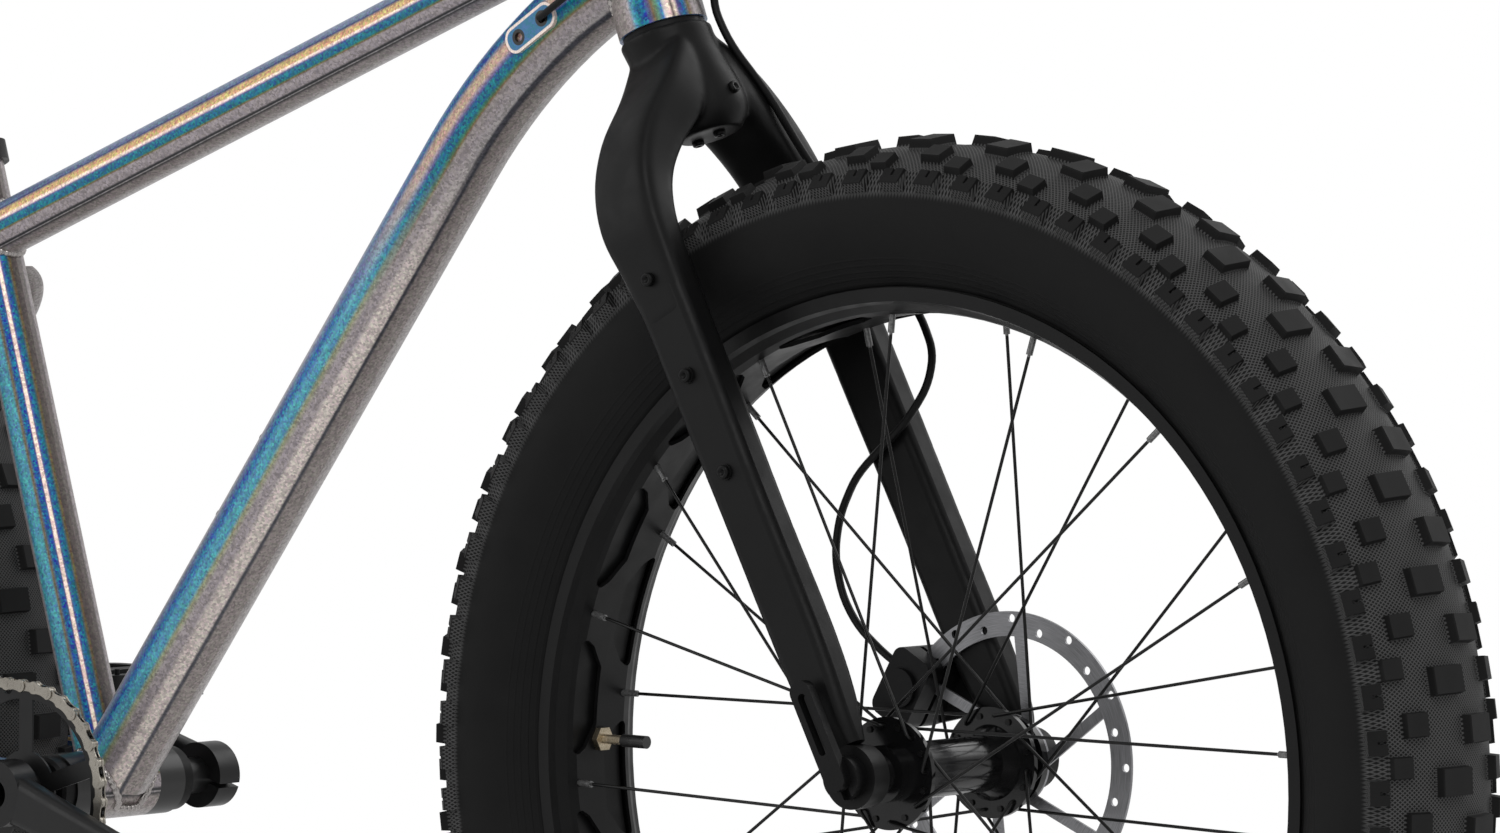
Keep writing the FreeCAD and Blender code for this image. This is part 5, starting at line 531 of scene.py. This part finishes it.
for end, axle in (("front", FRONT_AXLE), ("rear", REAR_AXLE)):
    node_materials[end + "_tyre"] = tyre_rubber(end + "_tyre_rubber", axle)
    worn, ground = (0.44, 0.44, 0.45), (0.62, 0.62, 0.63)
    node_materials[end + "_rotor"] = brushed(end + "_rotor_steel", worn, ground, axle, 0.32, 0.46)
    spoke = ((0.06, 0.06, 0.06), (0.10, 0.10, 0.10))
    nipple = ((0.34, 0.34, 0.34), (0.50, 0.50, 0.50))
    steel = two_tone(end + "_spoke_steel", axle, spoke, nipple, NIPPLE_FOOT, 0.6, 0.26)
    node_materials[end + "_spokes"] = steel
    node_materials[end + "_valve"] = valve_metal(end + "_valve_metal", axle)

for name, node in nodes.items():
    node.data.materials.clear()
    node.data.materials.append(node_materials.get(name, black_alloy))


# Padded saddle: a crowned form with drawn-in sides and a relief channel

SADDLE_ALONG = (0.0, 0.03, 0.08, 0.15, 0.24, 0.34, 0.45, 0.56, 0.68, 0.80, 0.90, 0.97, 1.0)
SADDLE_KEYS = (0.0, 0.08, 0.24, 0.45, 0.68, 0.9, 1.0)
SADDLE_WIDTHS = (0.62, 0.9, 1.0, 0.62, 0.16, 0.02, -0.32)
SADDLE_HEIGHTS = (0.72, 0.95, 1.0, 0.9, 0.84, 0.8, 0.62)


SADDLE_NOSE_SHARE = 19.0 / 72.0
SADDLE_CORNERS = 28
CHANNEL_START = 0.12
CHANNEL_END = 0.90
CHANNEL_DEPTH = 0.0045
CHANNEL_WIDTH_SHARE = 0.16


def eased(keys, values, place):
    """Value between keys, with a smooth change from one to the next."""
    for left in range(len(keys) - 1):
        if place <= keys[left + 1]:
            share = (place - keys[left]) / (keys[left + 1] - keys[left])
            share = share * share * (3 - 2 * share)
            return values[left] + (values[left + 1] - values[left]) * share
    return values[-1]


def skin(mesh, rows):
    """Faces between each row of corners and the next."""
    for first, second in zip(rows, rows[1:]):
        for step in range(len(first)):
            after = (step + 1) % len(first)
            mesh.faces.new((first[step], first[after], second[after], second[step]))


def capped(mesh, rows):
    """Skin over rows of corners, closed at both ends."""
    skin(mesh, rows)
    mesh.faces.new(list(reversed(rows[0])))
    mesh.faces.new(rows[-1])


def saddle_cover():
    """Mesh of the saddle's cover, between the lowest and highest points of its solid."""
    low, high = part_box("saddle")
    length = high.x - low.x
    half_width = (high.y - low.y) / 2
    nose = half_width * SADDLE_NOSE_SHARE
    height = high.z - low.z
    mesh = bmesh.new()
    rows = []
    for share in SADDLE_ALONG:
        half = nose + (half_width - nose) * eased(SADDLE_KEYS, SADDLE_WIDTHS, share)
        top = height * eased(SADDLE_KEYS, SADDLE_HEIGHTS, share)
        row = []
        for step in range(SADDLE_CORNERS):
            turn = 2 * math.pi * step / SADDLE_CORNERS
            across = math.cos(turn)
            up = math.sin(turn)
            wide = math.copysign(abs(across) ** 0.62, across)
            tall = 0.5 + 0.5 * math.copysign(abs(up) ** 0.55, up)
            y = half * wide * (0.86 + 0.14 * math.sin(math.pi * min(tall * 1.1, 1.0)))
            z = top * tall
            if up > 0.2 and CHANNEL_START < share < CHANNEL_END:
                sunk = math.sin(math.pi * (share - CHANNEL_START) / (CHANNEL_END - CHANNEL_START))
                z -= CHANNEL_DEPTH * sunk * math.exp(-((y / (CHANNEL_WIDTH_SHARE * half_width)) ** 2))
            row.append(mesh.verts.new((low.x + length * share, y, low.z + 0.0004 + z * 0.985)))
        rows.append(row)
    capped(mesh, rows)
    bmesh.ops.recalc_face_normals(mesh, faces=mesh.faces)
    data = bpy.data.meshes.new("saddle_cover")
    mesh.to_mesh(data)
    mesh.free()
    piece = bpy.data.objects.new("saddle_cover", data)
    bpy.context.scene.collection.objects.link(piece)
    smooth = piece.modifiers.new("smooth", "SUBSURF")
    smooth.levels = 2
    smooth.render_levels = 2
    for face in data.polygons:
        face.use_smooth = True
    data.materials.append(leather("saddle_leather"))
    return piece


cover = saddle_cover()
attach(cover, "seat")
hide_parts("saddle")


# Weld beads where the tubes of the frame meet

def placed(name, mesh, material, body):
    """Links a finished mesh as a piece that rides on a body."""
    data = bpy.data.meshes.new(name)
    mesh.to_mesh(data)
    mesh.free()
    for face in data.polygons:
        face.use_smooth = True
    data.materials.append(material)
    piece = bpy.data.objects.new(name, data)
    bpy.context.scene.collection.objects.link(piece)
    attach(piece, body)
    return piece


def ring(mesh, centre, side, other, radius, count):
    """Corners of one round section."""
    corners = []
    for step in range(count):
        turn = 2 * math.pi * step / count
        spot = side * (math.cos(turn) * radius) + other * (math.sin(turn) * radius)
        corners.append(mesh.verts.new(centre + spot))
    return corners


def meeting(foot, along, radius, axis, main_radius, count):
    """Points, each with its outward way, where a tube meets a round one that its foot lies on the axis of."""
    side = along.orthogonal().normalized()
    other = along.cross(side)
    flat_run = along - axis * along.dot(axis)
    line = []
    for step in range(count):
        turn = 2 * math.pi * step / count
        outward = side * math.cos(turn) + other * math.sin(turn)
        start = outward * radius
        flat = start - axis * start.dot(axis)
        a = flat_run.dot(flat_run)
        b = flat.dot(flat_run)
        c = flat.dot(flat) - main_radius * main_radius
        reached = (-b + math.sqrt(max(b * b - a * c, 0.0))) / a
        line.append((foot + start + along * reached, outward))
    return line


BEAD_RADIUS = 0.0029
RIPPLE_PITCH = 0.0036
RIPPLE_STEPS = 6


def weld_bead(name, foot, along, radius, axis, main_radius):
    """Closed bead of overlapping ripples along the line where two tubes meet."""
    count = RIPPLE_STEPS * round(2 * math.pi * radius / RIPPLE_PITCH)
    line = meeting(foot, along.normalized(), radius, axis, main_radius, count)
    mesh = bmesh.new()
    rows = []
    for place, (point, outward) in enumerate(line):
        ahead = (line[(place + 1) % count][0] - line[place - 1][0]).normalized()
        side = (outward - ahead * outward.dot(ahead)).normalized()
        swell = 0.78 + 0.26 * math.sin(math.pi * (place % RIPPLE_STEPS) / RIPPLE_STEPS)
        rows.append(ring(mesh, point, side, ahead.cross(side), BEAD_RADIUS * swell, 10))
    skin(mesh, rows + rows[:1])
    bmesh.ops.recalc_face_normals(mesh, faces=mesh.faces)
    return placed(name, mesh, bead_steel, "frame")


weld_bead("bead_top_head", TOP_JOIN, TOP_FOOT - TOP_JOIN, TOP_TUBE_RADIUS, STEER_UP, HEAD_TUBE_RADIUS)
weld_bead("bead_down_head", DOWN_JOIN, -PORT_RUN, DOWN_TUBE_RADIUS, STEER_UP, HEAD_TUBE_RADIUS)
weld_bead("bead_top_seat", TOP_FOOT, TOP_JOIN - TOP_FOOT, TOP_TUBE_RADIUS, SEAT_UP, SEAT_TUBE_RADIUS)
weld_bead("bead_down_shell", CRANK_AXLE, on_slope(DOWN_SLOPE), DOWN_TUBE_RADIUS, LEFT, SHELL_RADIUS)
weld_bead("bead_seat_shell", CRANK_AXLE, SEAT_UP, SEAT_TUBE_RADIUS, LEFT, SHELL_RADIUS)


# Fork crown and the bolts of fork and frame

BOLT_SHARES = ((1.0, -0.4), (1.0, 0.55), (0.93, 0.85), (0.80, 1.0), (0.52, 1.0), (0.50, 0.3))


def bolt(name, foot, axis, radius, height, body):
    """Round-headed bolt with a six-sided socket, its head standing on a foot point."""
    axis = axis.normalized()
    side = axis.orthogonal().normalized()
    other = axis.cross(side)
    mesh = bmesh.new()
    rows = []
    for wide, tall in BOLT_SHARES:
        count = 6 if wide < 0.6 else 24
        rows.append(ring(mesh, foot + axis * (tall * height), side, other, wide * radius, count))
    skin(mesh, rows[:4])
    skin(mesh, rows[4:])
    for corner in range(6):
        outer = [rows[3][(corner * 4 + step) % 24] for step in range(5)]
        mesh.faces.new(outer + [rows[4][(corner + 1) % 6], rows[4][corner]])
    mesh.faces.new(rows[-1])
    mesh.faces.new(list(reversed(rows[0])))
    bmesh.ops.recalc_face_normals(mesh, faces=mesh.faces)
    return placed(name, mesh, black_steel, body)


LEG_LEAN = 27.5
LEG_UP = on_slope(LEG_LEAN + 90.0)
LEG_FORE = on_slope(LEG_LEAN)
STEER_FORE = on_slope(20.5)

# Fork crown, one half: height up the leg, fore, across, lean in degrees, half thickness, half depth
CROWN_STATIONS = (
    (0.300, 0.000, 0.0801, 0.0, 0.0119, 0.0187),
    (0.335, -0.001, 0.0803, 0.0, 0.0121, 0.0210),
    (0.365, -0.002, 0.0795, 8.0, 0.0130, 0.0240),
    (0.392, 0.000, 0.0715, 22.0, 0.0150, 0.0245),
    (0.416, 0.005, 0.0560, 38.0, 0.0172, 0.0245),
    (0.438, 0.011, 0.0335, 50.0, 0.0185, 0.0250),
    (0.458, 0.011, 0.0140, 52.0, 0.0185, 0.0255),
    (0.472, 0.009, 0.0020, 45.0, 0.0180, 0.0235),
)
# Neck and the web between the arms: place on the steerer, fore, half width, half depth
NECK_STATIONS = (
    (-0.0035, 0.000, 0.0290, 0.0290),
    (-0.016, 0.002, 0.0275, 0.0285),
    (-0.032, 0.006, 0.0262, 0.0285),
    (-0.052, 0.012, 0.0270, 0.0275),
    (-0.064, 0.013, 0.0260, 0.0255),
    (-0.074, 0.013, 0.0190, 0.0200),
)
CROWN_CUT = 0.318
CROWN_CORNER = 0.42


def eased_stations(stations, count):
    """Stations with smooth steps between them, each value on a curve through its neighbours."""
    line = []
    last = len(stations) - 1
    for left in range(last):
        around = [stations[min(max(place, 0), last)] for place in range(left - 1, left + 3)]
        for step in range(count):
            t = step / count
            line.append([
                b + 0.5 * t * (c - a + t * (2 * a - 5 * b + 4 * c - d + t * (3 * (b - c) + d - a)))
                for a, b, c, d in zip(*around)
            ])
    return line + [list(stations[last])]


def crown_blend():
    """Mesh of the crown alone: two arms and the neck melted into one smooth body."""
    mesh = bmesh.new()
    for sign in (1, -1):
        rows = []
        for height, fore, across, lean, thick, deep in eased_stations(CROWN_STATIONS, 5):
            centre = FRONT_AXLE + LEG_UP * height + LEG_FORE * fore + LEFT * (across * sign)
            wide = LEFT * (math.cos(math.radians(lean)) * sign) + LEG_UP * math.sin(math.radians(lean))
            row = []
            for step in range(40):
                turn = 2 * math.pi * step / 40
                out = math.copysign(abs(math.cos(turn)) ** CROWN_CORNER, math.cos(turn)) * thick
                ahead = math.copysign(abs(math.sin(turn)) ** CROWN_CORNER, math.sin(turn)) * deep
                row.append(mesh.verts.new(centre + wide * out + LEG_FORE * ahead))
            rows.append(row)
        capped(mesh, rows)
    rows = []
    for place, fore, wide, deep in eased_stations(NECK_STATIONS, 4):
        centre = HEAD_FOOT + STEER_UP * place + STEER_FORE * fore
        row = []
        for step in range(48):
            turn = 2 * math.pi * step / 48
            spot = STEER_FORE * (math.cos(turn) * deep) + LEFT * (math.sin(turn) * wide)
            row.append(mesh.verts.new(centre + spot))
        rows.append(row)
    capped(mesh, rows)
    bmesh.ops.recalc_face_normals(mesh, faces=mesh.faces)
    data = bpy.data.meshes.new("crown_blend")
    mesh.to_mesh(data)
    mesh.free()
    holder = bpy.data.objects.new("crown_blend", data)
    bpy.context.scene.collection.objects.link(holder)
    melt = holder.modifiers.new("melt", "REMESH")
    melt.mode = "VOXEL"
    melt.voxel_size = 0.0014
    soft = holder.modifiers.new("soft", "SMOOTH")
    soft.factor = 0.5
    soft.iterations = 16
    graph = bpy.context.evaluated_depsgraph_get()
    blend = bpy.data.meshes.new_from_object(holder.evaluated_get(graph))
    bpy.data.objects.remove(holder)
    return blend


def fork_form():
    """The fork: legs and steerer as in the solid, with the smooth crown between them."""
    mesh = bmesh.new()
    mesh.from_mesh(nodes["fork"].data)
    cut = FRONT_AXLE + LEG_UP * CROWN_CUT
    every = list(mesh.verts) + list(mesh.edges) + list(mesh.faces)
    bmesh.ops.bisect_plane(mesh, geom=every, plane_co=cut, plane_no=LEG_UP, clear_outer=True)
    steerer = bmesh.new()
    steerer.from_mesh(nodes["fork"].data)
    foot = NECK_STATIONS[0][0]
    low = [corner for corner in steerer.verts if (corner.co - HEAD_FOOT).dot(STEER_UP) < foot]
    bmesh.ops.delete(steerer, geom=low, context="VERTS")
    upper = bpy.data.meshes.new("steerer")
    steerer.to_mesh(upper)
    steerer.free()
    mesh.from_mesh(upper)
    mesh.from_mesh(crown_blend())
    return placed("fork_form", mesh, carbon, "steering")


fork_piece = fork_form()
fork_piece.data.set_sharp_from_angle(angle=math.radians(35.0))
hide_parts("fork")


def on_fork(start, way):
    """Point and outward way of the first surface of the fork that a ray meets."""
    tree = BVHTree.FromObject(fork_piece, bpy.context.evaluated_depsgraph_get())
    point, normal, _, _ = tree.ray_cast(start, way)
    return point, normal


DOWN_UP = on_slope(DOWN_SLOPE + 90.0)
BOSS_PITCH = 0.064
BOSS_START = 0.199
BOSS_FACE = 0.0935
BOTTLE_START = 0.2085
BOTTLE_FACE = 0.0265
BOLT_HEIGHT = 0.0026
for step in range(3):
    boss = FRONT_AXLE + LEG_UP * (BOSS_START + BOSS_PITCH * step)
    for side, sign in (("left", 1), ("right", -1)):
        name = "boss_bolt_%s_%d" % (side, step + 1)
        bolt(name, boss + LEFT * (BOSS_FACE * sign), LEFT * sign, 0.0042, BOLT_HEIGHT, "steering")
for step in range(2):
    boss = CRANK_AXLE + on_slope(DOWN_SLOPE) * (BOTTLE_START + BOSS_PITCH * step) + DOWN_UP * BOTTLE_FACE
    bolt("bottle_bolt_%d" % (step + 1), boss, DOWN_UP, 0.0040, BOLT_HEIGHT, "frame")
for name, place, way in (
    ("crown_bolt", Vector((0.409, 0.0, 0.783)), -STEER_FORE),
    ("arch_bolt_front", Vector((0.3975, 0.0, 0.757)), STEER_UP),
    ("arch_bolt_rear", Vector((0.381, 0.0, 0.750)), STEER_UP),
):
    foot, outward = on_fork(place - way * 0.06, way)
    bolt(name, foot, outward, 0.0038, 0.0028, "steering")


# Hose and cable from the bar to the frame: each is cut into a front run, which stays in place, and a rear run
# that rides on the frame

def run_of(node, name, ahead):
    """Piece with one run of a hose: the one ahead of the frame's middle or the one behind it."""
    mesh = bmesh.new()
    mesh.from_mesh(nodes[node].data)
    far = [corner for corner in mesh.verts if (corner.co.x > 0.0) != ahead]
    bmesh.ops.delete(mesh, geom=far, context="VERTS")
    data = bpy.data.meshes.new(name)
    mesh.to_mesh(data)
    mesh.free()
    for face in data.polygons:
        face.use_smooth = True
    data.materials.append(hose_black)
    piece = bpy.data.objects.new(name, data)
    bpy.context.scene.collection.objects.link(piece)
    return piece


for node, bar_end, port_end in (
    ("rear_brake_hose", (0.388, -0.128, 1.002), (0.318, 0.038, 0.851)),
    ("shift_cable", (0.372, -0.126, 0.976), (0.322, -0.037, 0.849)),
):
    front_run = run_of(node, node + "_front", True)
    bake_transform(front_run)
    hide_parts(node)
    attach(run_of(node, node + "_rear", False), "frame")


# Studio: white background, soft even light and a pale floor

# Name, place, aim, size and power of each lamp
LAMPS = (
    ("key", (2.2, -2.4, 3.2), (0.2, 0.0, 0.5), 2.2, 38.0),
    ("fill", (-2.6, -2.8, 2.0), (0.0, 0.0, 0.5), 2.6, 22.0),
    ("rim", (1.0, 2.8, 2.6), (0.2, 0.0, 0.5), 2.2, 26.0),
)
FLOOR_HALF = (2.4, 1.8)
FLOOR_DROP = 0.0005
CAMERA_PLACE = (3.034, -3.149, 0.720)
CAMERA_TURN = math.radians(39.67)
CAMERA_RISE = math.radians(1.92)
CAMERA_LENS = 161.5


def studio():
    """World, lamps and floor."""
    world = bpy.data.worlds.new("studio")
    bpy.context.scene.world = world
    world.use_nodes = True
    tree = world.node_tree
    tree.nodes.clear()
    path = tree.nodes.new("ShaderNodeLightPath")
    light = tree.nodes.new("ShaderNodeBackground")
    light.inputs["Color"].default_value = (1.0, 1.0, 1.0, 1.0)
    light.inputs["Strength"].default_value = 0.70
    white = tree.nodes.new("ShaderNodeBackground")
    white.inputs["Color"].default_value = (1.0, 1.0, 1.0, 1.0)
    white.inputs["Strength"].default_value = 1.0
    mix = tree.nodes.new("ShaderNodeMixShader")
    tree.links.new(path.outputs["Is Camera Ray"], mix.inputs[0])
    tree.links.new(light.outputs[0], mix.inputs[1])
    tree.links.new(white.outputs[0], mix.inputs[2])
    out = tree.nodes.new("ShaderNodeOutputWorld")
    tree.links.new(mix.outputs[0], out.inputs[0])
    for name, place, aim, size, power in LAMPS:
        lamp = bpy.data.lights.new(name, "AREA")
        lamp.size = size
        lamp.energy = power
        holder = bpy.data.objects.new(name, lamp)
        holder.location = place
        holder.rotation_euler = (Vector(place) - Vector(aim)).to_track_quat("Z", "Y").to_euler()
        bpy.context.scene.collection.objects.link(holder)
    data = bpy.data.meshes.new("floor")
    level = min(cad_box[0][2], 0.0) - FLOOR_DROP
    wide, deep = FLOOR_HALF
    corners = ((-wide, -deep, level), (wide, -deep, level), (wide, deep, level), (-wide, deep, level))
    data.from_pydata(corners, [], [(0, 1, 2, 3)])
    floor = bpy.data.objects.new("floor", data)
    bpy.context.scene.collection.objects.link(floor)
    pale = Shade("floor_pale")
    tone = pale.ramp(pale.noise(3.0), ((0.3, (0.95, 0.95, 0.95)), (0.7, (0.96, 0.96, 0.96))))
    data.materials.append(pale.finish(Base_Color=tone, Roughness=0.9, Specular_IOR_Level=0.1))


def camera():
    """Camera at the photograph's viewpoint."""
    data = bpy.data.cameras.new("camera")
    data.sensor_width = 36.0
    data.lens = CAMERA_LENS
    data.clip_end = 50.0
    holder = bpy.data.objects.new("camera", data)
    level = math.cos(CAMERA_RISE)
    back = Vector((math.sin(CAMERA_TURN) * level, -math.cos(CAMERA_TURN) * level, math.sin(CAMERA_RISE)))
    holder.rotation_euler = (-back).to_track_quat("-Z", "Y").to_euler()
    holder.location = CAMERA_PLACE
    bpy.context.scene.collection.objects.link(holder)
    bpy.context.scene.camera = holder


studio()
camera()
bpy.context.scene.view_settings.view_transform = "Standard"
